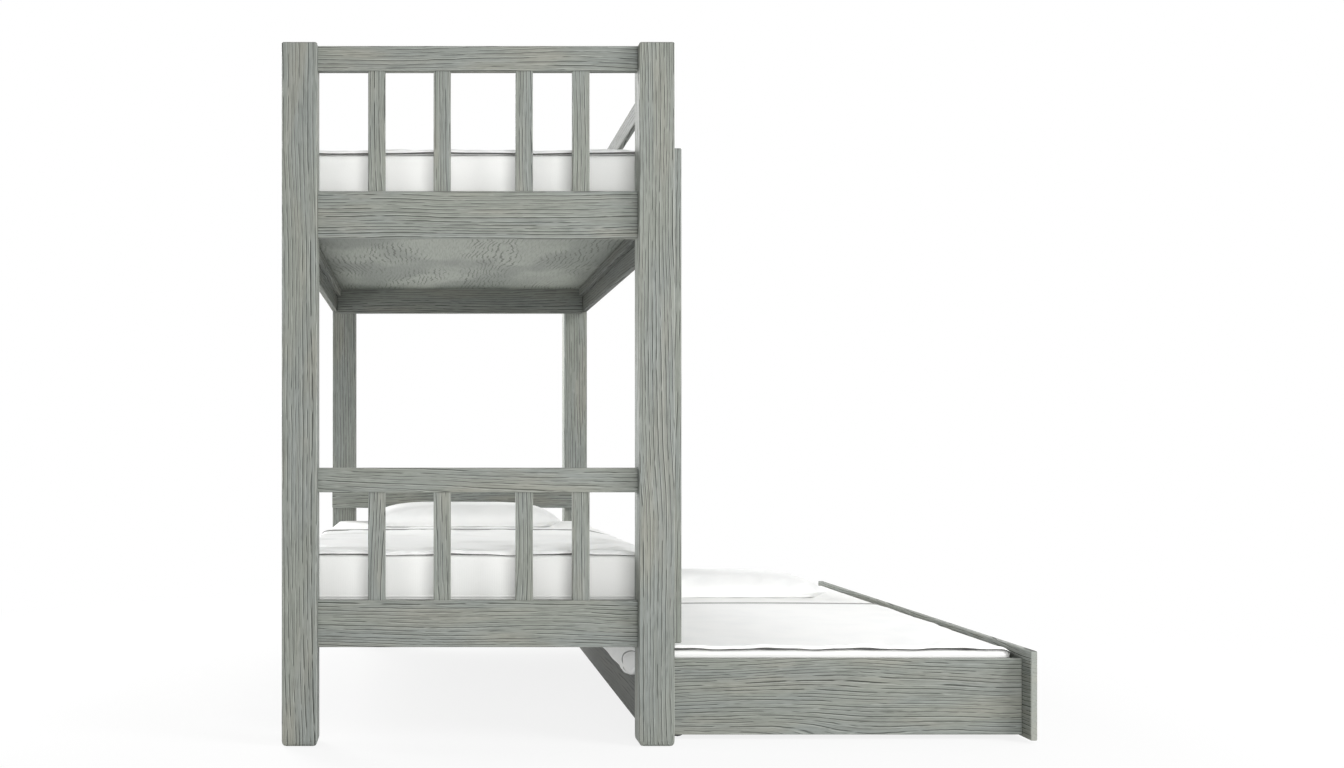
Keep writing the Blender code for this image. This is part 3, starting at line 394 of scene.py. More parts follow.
def oak_finish(node, seed):
    """Brushed oak for one board, its grain along the board's longest side.

    The ring distance is the length from the heart line, plus three noises:
    a slow bend, a waver and a tremble. The slope says how squarely the rings
    meet the wide face, so that lines stay thin where they nearly touch it.
    """
    rng = np.random.default_rng(seed)
    centre, half, (long_axis, wide_axis, thin_axis) = board_axes(node)
    finish = Finish("brushed_oak_" + node, centre, Specular_IOR_Level=0.35)
    along, wide, thin = (finish.axes[axis] for axis in (long_axis, wide_axis, thin_axis))
    chance = along + float(rng.uniform(5, 60))
    nearest = NEAR_HEART if node.startswith(ARCHED_GRAIN) else FAR_HEART
    side = rng.choice((-1, 1))
    heart_wide = float(side * (nearest + rng.uniform(0, HEART_SPREAD)) * half[wide_axis])
    heart_deep = float(half[thin_axis] + rng.uniform(*HEART_DEPTH))
    tilt = float(rng.uniform(-HEART_TILT, HEART_TILT))
    bend_depth = LEAST_BEND + BEND_FOR_WIDTH * float(half[wide_axis])
    place = (chance, wide, thin)
    bend, waver, tremble = (grain_noise(finish, place, kind) - 0.5
                            for kind in ("bend", "waver", "tremble"))
    beside = wide - heart_wide
    behind = thin + heart_deep + tilt * along
    straight = (beside * beside + behind * behind).root()
    ring = straight + bend * bend_depth + waver * WAVER + tremble * TREMBLE
    slope = abs(beside) / straight * 0.8 + 0.2
    halves = [float(half[axis]) for axis in (long_axis, wide_axis, thin_axis)]
    return finish, (along, wide, thin, ring, slope), place, halves


def dress_board(node, seed):
    """Colour, roughness and grooves of one brushed board.

    A groove lies where the ring distance, counted in ring pitches, is near a
    half. It is kept where stretched noise is high, so it breaks into dashes.
    A pale lip beside it is a painted highlight, and finer lines lie between.
    The edges are lighter in patches, partly wear and partly a painted
    highlight, and the end faces are lighter, a painted highlight.
    """
    finish, signals, place, (half_length, half_width, half_thickness) = oak_finish(node, seed)
    along, wide, thin, ring, slope = signals
    count = ring / RING_PITCH + finish.noise(ring * 24, 0.5, 0.5) * UNEVEN_RINGS
    off_line = abs(count.fraction() - 0.5) / slope
    dashes = grain_noise(finish, place, "dashes").rises(0.40, 0.48)
    crowd = grain_noise(finish, place, "crowd").rises(0.36, 0.58)
    groove = off_line.falls(0.045, 0.12) * dashes * (crowd * 0.3 + 0.7) * (slope * 0.3 + 0.7)
    # A pale lip beside each groove: a painted highlight.
    lip_highlight = (abs((count + 0.20).fraction() - 0.5) / slope).falls(0.03, 0.16) * dashes
    fine_off = abs((ring / FINE_PITCH).fraction() - 0.5) / slope
    fine_dashes = grain_noise(finish, place, "fine_dashes").rises(0.45, 0.62)
    fine = fine_off.falls(0.06, 0.24) * fine_dashes
    streaks = grain_noise(finish, place, "streaks").rises(0.40, 0.68)
    pores = grain_noise(finish, place, "pores")
    cloud = grain_noise(finish, place, "cloud")
    second_cloud = grain_noise(finish, place, "second_cloud")
    colour = finish.blend(cloud.rises(0.36, 0.62), OAK_GREEN, OAK_BLUE)
    colour = finish.blend(second_cloud.rises(0.46, 0.72) * 0.8, colour, OAK_SAND)
    colour = finish.blend(streaks * 0.45, colour, OAK_SHADE)
    colour = finish.blend(pores.rises(0.42, 0.72) * 0.14, colour, OAK_GROOVE)
    at_end = (half_length - abs(along)).falls(0.0006, 0.0020)
    shown = 1 - at_end * 0.8
    colour = finish.blend(lip_highlight * shown * 0.42, colour, OAK_WORN_AND_HIGHLIGHT)
    colour = finish.blend(fine * shown * 0.46, colour, OAK_GROOVE)
    colour = finish.blend(groove * shown, colour, OAK_GROOVE)
    # Lighter end faces: a painted highlight.
    colour = finish.blend(at_end * 0.35, colour, OAK_WORN_AND_HIGHLIGHT)
    # Lighter edges in patches: partly wear and partly a painted highlight.
    from_edge = (half_width - abs(wide)).larger(half_thickness - abs(thin))
    edge = from_edge.falls(0.0008, 0.0034)
    edge_wear_and_highlight = edge * grain_noise(finish, place, "edge_patches").rises(0.30, 0.62)
    colour = finish.blend(edge_wear_and_highlight * 0.45, colour, OAK_WORN_AND_HIGHLIGHT)
    # Painted shade: whole boards blended towards dark grey.
    if node in PAINTED_SHADE_BOARDS:
        colour = finish.blend(PAINTED_SHADE_BOARDS[node], colour, OAK_PAINTED_SHADE)
    # Painted shade on all but the board's outer face, the one away from the bunk's middle.
    if node in PAINTED_SHADE_FACES:
        outward = 1 if board_axes(node)[0][0] > BUNK_MIDDLE else -1
        inside = (half_thickness - thin * outward).rises(*OUTER_SKIN)
        colour = finish.blend(inside * PAINTED_SHADE_FACES[node], colour, OAK_PAINTED_SHADE)
    finish.feed("Base Color", colour)
    finish.feed("Roughness", 0.55 + groove * 0.25 + pores * 0.10)
    height = 1 - groove * 0.9 - fine * 0.35 - pores.rises(0.45, 0.8) * 0.25
    finish.emboss(height, GROOVE_DEPTH, GROOVE_RELIEF)
    dress(node, finish)


# %% [markdown]
# ## Platforms
# The mattresses lie on veneered sheets, whose undersides show above the lower bunk. Veneer is
# peeled round the log, so its figure is broad, with clusters of short wavy flecks that run the
# length of the bed, and it's smoother than the brushed boards. Lines at an even pitch across
# the bed make it, bent by slow noise and kept only where finer noise is high. Towards its
# edges the sheet has painted shade.

# %% Veneer
VENEER_GREY = rgb(124, 129, 122)
VENEER_LIGHT = rgb(146, 150, 142)
VENEER_FLECK = rgb(70, 74, 67)
VENEER_PITCH = 0.0165
VENEER_SWAY = 0.11
VENEER_RIPPLE = 0.016
VENEER_RELIEF = 0.0003
# How far in from the edges the painted shade reaches.
EDGE_SHADE_RUN = 0.12


def dress_platform(node, seed):
    """Veneer on one platform: lines across the bed, bent by two noises and cut into flecks."""
    centre, half, _ = board_axes(node)
    finish = Finish("stained_veneer_" + node, centre, Specular_IOR_Level=0.3)
    across, along, _ = finish.axes
    chance = along + seed * 3.7
    sway = finish.noise(across * 5, chance * 2.2, 0.0, 2.0) - 0.5
    ripple = finish.noise(across * 26, chance * 21, 0.0, 1.0) - 0.5
    place = across + sway * VENEER_SWAY + ripple * VENEER_RIPPLE
    lines = abs((place / VENEER_PITCH).fraction() - 0.5).falls(0.05, 0.20)
    clusters = finish.noise(across * 6, chance * 2.1, 4.0, 1.0).rises(0.42, 0.58)
    dashes = finish.noise(across * 60, chance * 9, 9.0, 1.0).rises(0.36, 0.52)
    fleck = lines * dashes * (clusters * 0.85 + 0.15)
    grain = finish.noise(across * 300, chance * 12, 0.0, 2.0)
    cloud = finish.noise(across * 4, chance * 1.7, 7.0, 2.0).rises(0.40, 0.60)
    colour = finish.blend(cloud, VENEER_GREY, VENEER_LIGHT)
    colour = finish.blend(grain.rises(0.4, 0.75) * 0.22, colour, VENEER_FLECK)
    colour = finish.blend(fleck * 0.80, colour, VENEER_FLECK)
    # Painted shade: darker towards the sheet's edges.
    inside = (float(half[0]) - abs(across)).smaller(float(half[1]) - abs(along))
    colour = finish.blend(inside.falls(0.0, EDGE_SHADE_RUN) * 0.35, colour, VENEER_FLECK)
    finish.feed("Base Color", colour)
    finish.feed("Roughness", 0.52 + grain * 0.14)
    finish.emboss(1 - fleck * 0.6 - grain * 0.3, VENEER_RELIEF, 0.6)
    dress(node, finish)


platforms = [node for node in nodes if node.endswith("_platform")]
for seed, node in enumerate(sorted(platforms), 1):
    dress_platform(node, seed)

SOFT_ENDINGS = ("_mattress", "_duvet", "_pillow")
is_metal = {node: node.startswith(("wheel_", "caster_")) for node in nodes}
boards = [node for node in sorted(nodes)
          if not node.endswith(SOFT_ENDINGS + ("_platform",)) and not is_metal[node]]
for seed, node in enumerate(boards, 100):
    dress_board(node, seed)
print("oak boards:", len(boards), "veneered platforms:", len(platforms))

# %% [markdown]
# ## Casters
# The trundle rolls on four small casters. Their brackets are folded steel with a dull zinc
# coat, whose crystals show as faint patches, and the wheels have a grey hub inside a dark
# rubber tread. The wheel is one solid, so the distance from its axle tells hub from tread.

# %% Steel brackets
STEEL_LIGHT = rgb(178, 181, 184)
STEEL_DULL = rgb(140, 143, 147)


def dress_bracket(node):
    """Zinc on folded steel: patches of two greys, and fine scratches along the folds."""
    centre, _, _ = board_axes(node)
    finish = Finish("zinc_" + node, centre, Metallic=1.0)
    x, y, z = finish.axes
    cells = finish.noise(x * 160, y * 160, z * 160, 2.0)
    scratches = finish.noise(x * 30, y * 30, z * 900, 2.0)
    finish.feed("Base Color", finish.blend(cells.rises(0.35, 0.65), STEEL_LIGHT, STEEL_DULL))
    finish.feed("Roughness", 0.32 + cells * 0.16 + scratches * 0.10)
    finish.emboss(scratches, 0.00005, 0.4)
    dress(node, finish)


# %% Rubber wheels
TREAD_DARK = rgb(58, 60, 62)
TREAD_DUSTY = rgb(82, 84, 84)
HUB_GREY = rgb(128, 131, 134)
HUB_SHARE = 0.66
TREAD_RIBS = 36


def dress_wheel(node):
    """A caster wheel: hub grey near its axle, dusty rubber with cross ribs further out."""
    centre, half, _ = board_axes(node)
    finish = Finish("caster_" + node, centre, Specular_IOR_Level=0.4)
    x, y, z = finish.axes
    radius = float(half[0])
    out = (x * x + z * z).root() / radius
    tread = out.rises(HUB_SHARE - 0.02, HUB_SHARE + 0.02)
    dust = finish.noise(x * 120, y * 120, z * 120, 3.0).rises(0.42, 0.7)
    rubber = finish.blend(dust, TREAD_DARK, TREAD_DUSTY)
    finish.feed("Base Color", finish.blend(tread, HUB_GREY, rubber))
    finish.feed("Roughness", 0.42 + tread * 0.28 + dust * 0.1)
    angle = finish.node("ShaderNodeMath", {"operation": "ARCTAN2"}, {0: z, 1: x})
    ribs = (angle * TREAD_RIBS).sine().rises(-0.2, 0.9) * tread
    finish.emboss(ribs * 0.5 + dust * 0.2, 0.0003, 0.5)
    dress(node, finish)


for node in nodes:
    if node.startswith("caster_"):
        dress_bracket(node)
    elif node.startswith("wheel_"):
        dress_wheel(node)
print("casters:", sum(is_metal.values()) // 2)

# %% [markdown]
# ## Shapes worked out on grids
# A soft piece is two sheets of cloth that meet in a seam. Each sheet is a grid of points with
# a place for every pair of two parameters, so a whole sheet is one numpy array, and the faces
# follow from the grid's own numbering. The two sheets share their border points, which closes
# the seam. Modelling by hand could give the same, but not the same again after a change.

# %% Meshes from grids
def new_piece(name, points, quads, material):
    """A smooth mesh object at the origin, from points and four-cornered faces."""
    mesh = bpy.data.meshes.new(name)
    mesh.from_pydata(points.tolist(), [], quads.tolist())
    mesh.shade_smooth()
    mesh.materials.append(material)
    piece = bpy.data.objects.new(name, mesh)
    scene.collection.objects.link(piece)
    return piece


def grid_quads(index):
    """The four corners of each cell of a numbered grid, anticlockwise from above."""
    cells = (index[:-1, :-1], index[:-1, 1:], index[1:, 1:], index[1:, :-1])
    return np.stack(cells, axis=-1).reshape(-1, 4)


def border_of(index):
    """A numbered grid's border, once round, anticlockwise from above."""
    return np.concatenate([index[0, :-1], index[:-1, -1], index[-1, :0:-1], index[:0:-1, 0]])


def sewn_sheets(under, over):
    """Points and faces of two grids sewn together along their border.

    The upper grid takes its border numbers from the lower one.
    """
    rows, columns = under.shape[:2]
    low = np.arange(rows * columns).reshape(rows, columns)
    high = low.copy()
    inside = (rows - 2) * (columns - 2)
    high[1:-1, 1:-1] = rows * columns + np.arange(inside).reshape(rows - 2, columns - 2)
    points = np.concatenate([under.reshape(-1, 3), over[1:-1, 1:-1].reshape(-1, 3)])
    quads = np.concatenate([grid_quads(low)[:, ::-1], grid_quads(high)])
    return points, quads, low, high


def smooth(value, low, high):
    """0 up to low, 1 from high on, and a smooth step between them."""
    share = np.clip((value - low) / (high - low), 0, 1)
    return share * share * (3 - 2 * share)


# %% [markdown]
# ## Cotton and knitted cover
# The bedding is white. What makes it read as cloth is small: the weave of the cotton, the
# rows of the mattress's knitted cover, a little unevenness in the white, and a soft sheen at
# grazing angles. The weave is two crossed waves in a bump, in the bed's own coordinates. The
# dark strip under each hem and the grey on each fold's cord are painted shadows, the same
# fuzzy grey in two tones.

# %% Cloth finishes
COTTON_WHITE = rgb(247, 247, 246)
COTTON_SHADE = rgb(240, 241, 241)
KNIT_WHITE = rgb(246, 246, 244)
KNIT_SHADE = rgb(236, 237, 235)
# Greys for painted shadow: under the hems and along the trundle's crease, and on the folds' cords.
PAINTED_SHADOW_GREY = rgb(86, 86, 84)
PAINTED_SHADOW_FUZZ = rgb(104, 104, 102)
FOLD_SHADOW_GREY = rgb(150, 150, 148)
FOLD_SHADOW_FUZZ = rgb(168, 168, 166)
WEAVE_WAVES = 2 * math.pi / 0.0011
KNIT_WAVES = 2 * math.pi / 0.0032


def cotton_finish(name, seam=None):
    """White cotton. seam, where given, turns a place into the share of a grey line of painted
    shadow.
    """
    finish = Finish(name, Specular_IOR_Level=0.25, Sheen_Weight=0.15, Sheen_Roughness=0.5)
    x, y, z = finish.axes
    weave = (x * WEAVE_WAVES).sine() * (y * WEAVE_WAVES).sine() * 0.5 + 0.5
    slub = finish.noise(x * 40, y * 500, z * 300, 2.0)
    cloud = finish.noise(x * 9, y * 9, z * 9, 3.0)
    crumple = finish.noise(x * 34, y * 34, z * 34, 3.0)
    share = cloud.rises(0.35, 0.75) * 0.6 + slub.rises(0.5, 0.8) * 0.25
    colour = finish.blend(share, COTTON_WHITE, COTTON_SHADE)
    if seam:
        # A grey line of painted shadow, where a mask is given.
        colour = finish.blend(seam(x, y, z), colour, PAINTED_SHADOW_GREY)
    finish.feed("Base Color", colour)
    finish.feed("Roughness", 0.78 + slub * 0.12)
    finish.emboss(weave * 0.10 + slub * 0.12 + crumple * 0.55, 0.0012, 0.35)
    return finish


def knit_finish(name):
    """A knitted cover: rows up the sides and across the top, with a soft fuzz."""
    finish = Finish(name, Specular_IOR_Level=0.2, Sheen_Weight=0.2, Sheen_Roughness=0.5)
    x, y, z = finish.axes
    rows = (z * KNIT_WAVES).sine() + (y * KNIT_WAVES * 0.5).sine() + (x * KNIT_WAVES * 0.5).sine()
    fuzz = finish.noise(x * 260, y * 260, z * 260, 2.0)
    cloud = finish.noise(x * 6, y * 6, z * 6, 3.0)
    share = cloud.rises(0.35, 0.75) * 0.5 + fuzz.rises(0.5, 0.8) * 0.3
    finish.feed("Base Color", finish.blend(share, KNIT_WHITE, KNIT_SHADE))
    finish.feed("Roughness", 0.82 + fuzz * 0.1)
    finish.emboss(rows * 0.12 + fuzz * 0.25 + 0.4, 0.0008, 0.35)
    return finish


def painted_shadow_finish(name, tone, dusty):
    """A painted shadow for the hems and the folds' cords: fuzz between two tones."""
    finish = Finish(name, Specular_IOR_Level=0.2)
    x, y, z = finish.axes
    fuzz = finish.noise(x * 400, y * 400, z * 400, 2.0)
    finish.feed("Base Color", finish.blend(fuzz, tone, dusty))
    finish.feed("Roughness", 0.8 + fuzz * 0.1)
    return finish


cotton = cotton_finish("white_cotton")
knit = knit_finish("knitted_cover")
# Painted shadows: the dark strip under each hem, and the grey on each fold's cord.
hem_shadow = painted_shadow_finish("painted_hem_shadow", PAINTED_SHADOW_GREY, PAINTED_SHADOW_FUZZ)
# The fold's cord coloured grey: a painted shadow.
cord = painted_shadow_finish("fold_cord_painted_shadow", FOLD_SHADOW_GREY, FOLD_SHADOW_FUZZ)

# %% [markdown]
# ## Mattresses
# A foam mattress in a knitted cover has a crowned top, a round shoulder, sides that draw in a
# little above a corded seam near the foot, and rounded corners. Its plan is a rectangle whose
# corner squares are pressed into quarter discs, so one grid covers the whole top with no pole.
# The same border, moved outwards along its own normal and down a profile, makes the sides.

# %% Mattress form
MATTRESS_WIDTH = 0.990
MATTRESS_LENGTH = 1.905
MATTRESS_THICKNESS = 0.132
CORNER_RADIUS = 0.045
SHOULDER = 0.012
FOOT_ROUND = 0.014
CROWN = 0.004
CORD_RADIUS = 0.0030
CORD_HEIGHT = FOOT_ROUND + 0.007
SIDE_LEAN = 0.0012
SIDE_DRAW = 0.0022
CELL = 0.0125
CORNER_CELLS = 4
# The height of the quilting's dimples, and their two waves in radians for each metre.
DIMPLES = (0.0009, 47, 39)


def plan_lines(half, corner_cells):
    """Core places and corner shares of the grid lines across one direction."""
    core = half - CORNER_RADIUS
    share = np.linspace(0, 1, corner_cells + 1)[1:]
    middle = np.linspace(-core, core, int(round(2 * core / CELL)) + 1)
    place = np.concatenate([np.full(corner_cells, -core), middle, np.full(corner_cells, core)])
    corner = np.concatenate([-share[::-1], np.zeros(len(middle)), share])
    return place, corner


def pressed_square(s, t):
    """Square coordinates pressed into a disc.

    Each is multiplied by the root of 1 less half the other's square.
    """
    return s * np.sqrt(1 - t * t / 2), t * np.sqrt(1 - s * s / 2)


def crown_height(x, y):
    """Height of a mattress's top over its bottom, about its centre."""
    across = 1 - (x / (MATTRESS_WIDTH / 2)) ** 2
    along = 1 - (y / (MATTRESS_LENGTH / 2)) ** 2
    return MATTRESS_THICKNESS + CROWN * np.clip(across, 0, 1) * np.clip(along, 0, 1)


def side_profile():
    """Insets and heights down a mattress's side, from the shoulder to the foot.

    The shoulder is a quarter circle, the side draws in by half a sine wave,
    a half round cord stands out at the seam, and the foot is a quarter circle.
    """
    turn = np.linspace(math.pi / 2, 0, 7)[1:]
    top = MATTRESS_THICKNESS - SHOULDER
    shoulder = (SHOULDER * (1 - np.cos(turn)), top + SHOULDER * np.sin(turn))
    run = np.linspace(0, 1, 11)[1:]
    low = CORD_HEIGHT + 0.002
    draw = (SIDE_LEAN * run + SIDE_DRAW * np.sin(math.pi * run), top + (low - top) * run)
    bead = np.linspace(-math.pi / 2, math.pi / 2, 7)
    cord = (SIDE_LEAN - CORD_RADIUS * np.cos(bead), CORD_HEIGHT - CORD_RADIUS * (1 + np.sin(bead)))
    foot = np.linspace(0, math.pi / 2, 6)
    foot_round = (FOOT_ROUND * (1 - np.cos(foot)), FOOT_ROUND * (1 - np.sin(foot)))
    return np.concatenate([shoulder, draw, cord, foot_round], axis=1).T


def make_mattress(name, centre, body):
    """One mattress: a crowned top grid, side rings and a flat bottom grid."""
    place_x, corner_x = plan_lines(MATTRESS_WIDTH / 2, CORNER_CELLS)
    place_y, corner_y = plan_lines(MATTRESS_LENGTH / 2, CORNER_CELLS)
    core_x, core_y = np.meshgrid(place_x, place_y)
    s, t = pressed_square(*np.meshgrid(corner_x, corner_y))
    top_radius = CORNER_RADIUS - SHOULDER
    top_x, top_y = core_x + s * top_radius, core_y + t * top_radius
    depth, waves_x, waves_y = DIMPLES
    dimple = depth * np.sin(top_x * waves_x) * np.sin(top_y * waves_y)
    top = np.stack([top_x, top_y, crown_height(top_x, top_y) + dimple], axis=-1)
    index = np.arange(top_x.size).reshape(top_x.shape)
    edge = border_of(index)
    rings = []
    for inset, height in side_profile()[:-1]:
        radius = CORNER_RADIUS - inset
        ring_x = (core_x + s * radius).ravel()[edge]
        ring_y = (core_y + t * radius).ravel()[edge]
        rings.append(np.stack([ring_x, ring_y, np.full(len(edge), height)], axis=-1))
    bottom_radius = CORNER_RADIUS - FOOT_ROUND
    bottom = np.stack([core_x + s * bottom_radius, core_y + t * bottom_radius,
                       np.zeros_like(core_x)], axis=-1)
    ring_index = top_x.size + np.arange(len(rings) * len(edge)).reshape(len(rings), -1)
    bottom_index = ring_index.max() + 1 + index
    levels = np.concatenate([edge[None], ring_index, border_of(bottom_index)[None]])
    after = np.roll(levels, -1, axis=1)
    walls = np.stack([levels[1:], after[1:], after[:-1], levels[:-1]], axis=-1).reshape(-1, 4)
    points = np.concatenate([top.reshape(-1, 3), *rings, bottom.reshape(-1, 3)])
    quads = np.concatenate([grid_quads(index), walls, grid_quads(bottom_index)[:, ::-1]])
    piece = new_piece(name, points + np.array(centre), quads, knit.material)
    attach(piece, body)
    return piece


def mattress_place(node):
    """Centre of the plan and height of the bottom of a mattress's solid."""
    low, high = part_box(node)
    return (low.x + high.x) / 2, (low.y + high.y) / 2, low.z


places = {}
for bed in ("lower", "upper", "trundle"):
    solid = bed + "_mattress"
    places[bed] = mattress_place(solid)
    mattress = make_mattress(bed + "_knit_mattress", places[bed], body_of_node[solid])
    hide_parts(solid)
    print(mattress.name, "faces:", len(mattress.data.polygons))

# %% [markdown]
# ## Cloth that swells
# A filled cover is full of small wrinkles, because the cloth is larger than the shape that it
# is sewn to. Blender's cloth solver can find them. The lower sheet is pinned where it lies, the
# upper one is held only weakly, as filling holds it, the cloth grows by a few per cent and
# air pushes it out. Twenty frames are enough. How far a point may move is capped, and the
# result is kept as the mesh, so nothing is simulated later.

# %% Swelling a sewn piece
SWELL_FRAMES = 20
COTTON_CLOTH = {"quality": 6, "mass": 0.15, "air_damping": 2.0, "tension_stiffness": 25,
                "compression_stiffness": 25, "shear_stiffness": 8, "use_pressure": True,
                "pin_stiffness": 1.0}


def read_points(mesh):
    places_read = np.empty(len(mesh.vertices) * 3)
    mesh.vertices.foreach_get("co", places_read)
    return places_read.reshape(-1, 3)


def swell(piece, held, growth, pressure, cap, bending=0.6, move=None):
    """Run the cloth solver on a sewn piece and keep the capped result.

    held has a weight for each point, 1 where the point can't move. Where an
    earlier piece of the same grid gave a move, that is used again.
    """
    before = read_points(piece.data)
    if move is None:
        move = solved_move(piece, held, growth, pressure, bending)
        length = np.linalg.norm(move, axis=1, keepdims=True)
        move *= np.minimum(1, cap / np.maximum(length, 1e-9))
    piece.data.vertices.foreach_set("co", (before + move).ravel())
    piece.data.update()
    print(piece.name, "swelled by up to", round(float(np.abs(move).max()) * 1000, 1), "mm")
    return move


def solved_move(piece, held, growth, pressure, bending):
    """How far the cloth solver moves each point, with no gravity and the held points pinned."""
    before = read_points(piece.data)
    group = piece.vertex_groups.new(name="held")
    for weight in np.unique(held):
        if weight > 0:
            members = np.flatnonzero(held == weight).tolist()
            group.add(members, float(weight), "REPLACE")
    cloth = piece.modifiers.new("cloth", "CLOTH")
    chosen = {**COTTON_CLOTH, "bending_stiffness": bending, "uniform_pressure_force": pressure,
              "shrink_min": -growth, "vertex_group_mass": group.name}
    for setting, value in chosen.items():
        setattr(cloth.settings, setting, value)
    cloth.settings.effector_weights.gravity = 0
    cloth.collision_settings.use_collision = False
    cloth.point_cache.frame_start = 1
    cloth.point_cache.frame_end = SWELL_FRAMES
    for number in range(1, SWELL_FRAMES + 1):
        scene.frame_set(number)
    shown = piece.evaluated_get(bpy.context.evaluated_depsgraph_get())
    move = read_points(shown.data) - before
    piece.modifiers.remove(cloth)
    piece.vertex_groups.remove(group)
    scene.frame_set(1)
    return move


def soften(piece):
    """One level of Catmull-Clark subdivision, the same in view and render."""
    smoother = piece.modifiers.new("soften", "SUBSURF")
    smoother.levels = 1
    smoother.render_levels = 1


# %% [markdown]
# ## Duvets
# Each duvet is a long cushion that lies on its mattress. At the foot it ends in a round hem,
# which stands a little proud of the mattress and waves up and down. Its underside by the hem is
# dark grey, a painted shadow, so a dark line runs under it. On the ladder side it thins out.
# Further up, a thin raised cord marks the fold, coloured grey as a painted shadow, and a thinner
# turned-down sheet goes on to the pillow. The lower sheet follows the mattress and the upper one
# lies a thickness above it, along the normal. A heap of modifiers on a plane could give the same
# outline, but neither the fold's profile nor the painted shadows' places.

# %% Duvet form
DUVET_LENGTH = 1.147
SIDE_INSET = 0.003
FOOT_PROUD = 0.0015
GAP = 0.0004
WALL_REACH = 0.030
LADDER_REACH = 0.095
TUCK_REACH = 0.060
FOOT_REACH = 0.008
HEAD_REACH = 0.020
SEAM_RISE = 0.0028
LIFT_RUN = 0.030
SAG_RUN = 0.006
DUVET_CELL = 0.0105
TRUNDLE_CELL = 0.0130
# How far the painted shadow under the hem reaches in.
HEM_SHADOW_REACH = 0.0050
FIRST_ROW = 0.0014
FIRST_COLUMN = 0.0022
SWELL_HEIGHT = 0.0012
FOLD_CALM = 0.02
# The duvet's thickness at places along it, counted from the fold.
FOLD_PROFILE = ((-0.090, 0.0125), (-0.030, 0.0130), (-0.010, 0.0136), (-0.0024, 0.0136),
                (-0.0018, 0.0165), (-0.0006, 0.0180), (0.0006, 0.0180), (0.0018, 0.0162),
                (0.0030, 0.0110), (0.0060, 0.0078), (0.0130, 0.0086), (0.040, 0.0092))
# Half the width of the fold's raised cord, coloured grey as a painted shadow, and the slots of the
# two painted shadows.
CORD_HALF = 0.0027
HEM_SHADOW_SLOT, FOLD_SHADOW_SLOT = 1, 2
# How firmly the filling holds the upper sheet, and the hem its first rows.
FILLING_HOLD = 0.06
HEM_HOLD = 0.5
HEM_ROWS = 4
# Each hem's mean height, the swing of its wave, the place of a crest, and the wave's length.
HEMS = {"lower": (-0.0012, 0.0030, -0.06, 0.31),
        "upper": (0.0030, 0.0022, -0.09, 0.50),
        "trundle": (0.0032, 0.0028, -0.18, 0.25)}
FOLDS = {"lower": 0.917, "upper": 0.917, "trundle": 1.040}
DUVET_SWELL = {"growth": 0.020, "pressure": 0.4}
CORNER_DROP = 0.011
CORNER_RUN = (0.462, 0.492)
CORNER_REACH = 0.035


def eased_lines(length, first, cell):
    """Grid lines along a length, close together at both ends and even between them."""
    near = [0.0]
    step = first
    while step < cell:
        near.append(near[-1] + step)
        step *= 1.35
    near = np.array(near)
    middle = np.linspace(near[-1], length - near[-1], int((length - 2 * near[-1]) / cell) + 2)
    return np.concatenate([near[:-1], middle, (length - near[:-1])[::-1]])


def duvet_rows(fold, cell):
    """Lines along the duvet, measured from the mattress's foot, with the fold's own among them."""
    rows = eased_lines(DUVET_LENGTH + FOOT_PROUD, FIRST_ROW, cell) - FOOT_PROUD
    close = fold + np.array([place for place, _ in FOLD_PROFILE[2:-1]])
    keep = rows[(rows < close[0] - 0.004) | (rows > close[-1] + 0.004)]
    return np.sort(np.concatenate([keep, close]))


def shoulder_drop(inset):
    """How far a round shoulder lies below the top, at a distance in from the side."""
    reach = np.clip(SHOULDER - inset, 0, SHOULDER * 0.95)
    return SHOULDER - np.sqrt(SHOULDER ** 2 - reach ** 2)


def hem_height(bed, x):
    """How far the hem's underside is above the mattress's edge: a long wave and a short one."""
    mean, swing, crest, length = HEMS[bed]
    turn = 2 * math.pi * (x - crest) / length
    return mean + swing * (0.75 * np.cos(turn) + 0.25 * np.cos(2.7 * turn + 1.0))


def lying_sheet(bed, x, rows):
    """The lower side of the cloth on a mattress's top.

    It drops with the round shoulders at the sides. At the foot it runs on
    level, lifted where the hem's wave is high and sagging where it is low.
    """
    px, py = np.meshgrid(x, rows - MATTRESS_LENGTH / 2)
    drop = np.minimum(shoulder_drop(MATTRESS_WIDTH / 2 - np.abs(px)), SHOULDER * 0.80)
    hem = hem_height(bed, px)
    from_foot = (rows - rows[0])[:, None]
    lift = np.maximum(hem, 0) * np.exp(-from_foot / LIFT_RUN)
    sag = np.minimum(hem, 0) * np.exp(-from_foot / SAG_RUN)
    if bed == "trundle":
        sag -= CORNER_DROP * smooth(px, *CORNER_RUN) * np.exp(-from_foot / CORNER_REACH)
    return np.stack([px, py, crown_height(px, py) - drop + lift + sag + GAP], axis=-1)


def seam_share(distance, reach):
    """Share of the full thickness at a distance from a seam: a quarter ellipse."""
    share = np.clip(distance / reach, 0, 1)
    return np.sqrt(1 - (1 - share) ** 2)


def thinning_share(distance, reach):
    """Share of the full thickness where a side thins out: a smooth step over a slope."""
    return 0.65 * smooth(distance, 0, reach) + 0.35 * np.clip(distance / reach, 0, 1)


def border_share(rows, run, left_reach, right_reach):
    """The shares of all four sides, multiplied: the right side thins out, the others are round."""
    ends = seam_share(rows - rows[0], FOOT_REACH) * seam_share(rows[-1] - rows, HEAD_REACH)
    right = thinning_share(run[:, -1:] - run, right_reach)
    return ends[:, None] * seam_share(run, left_reach) * right


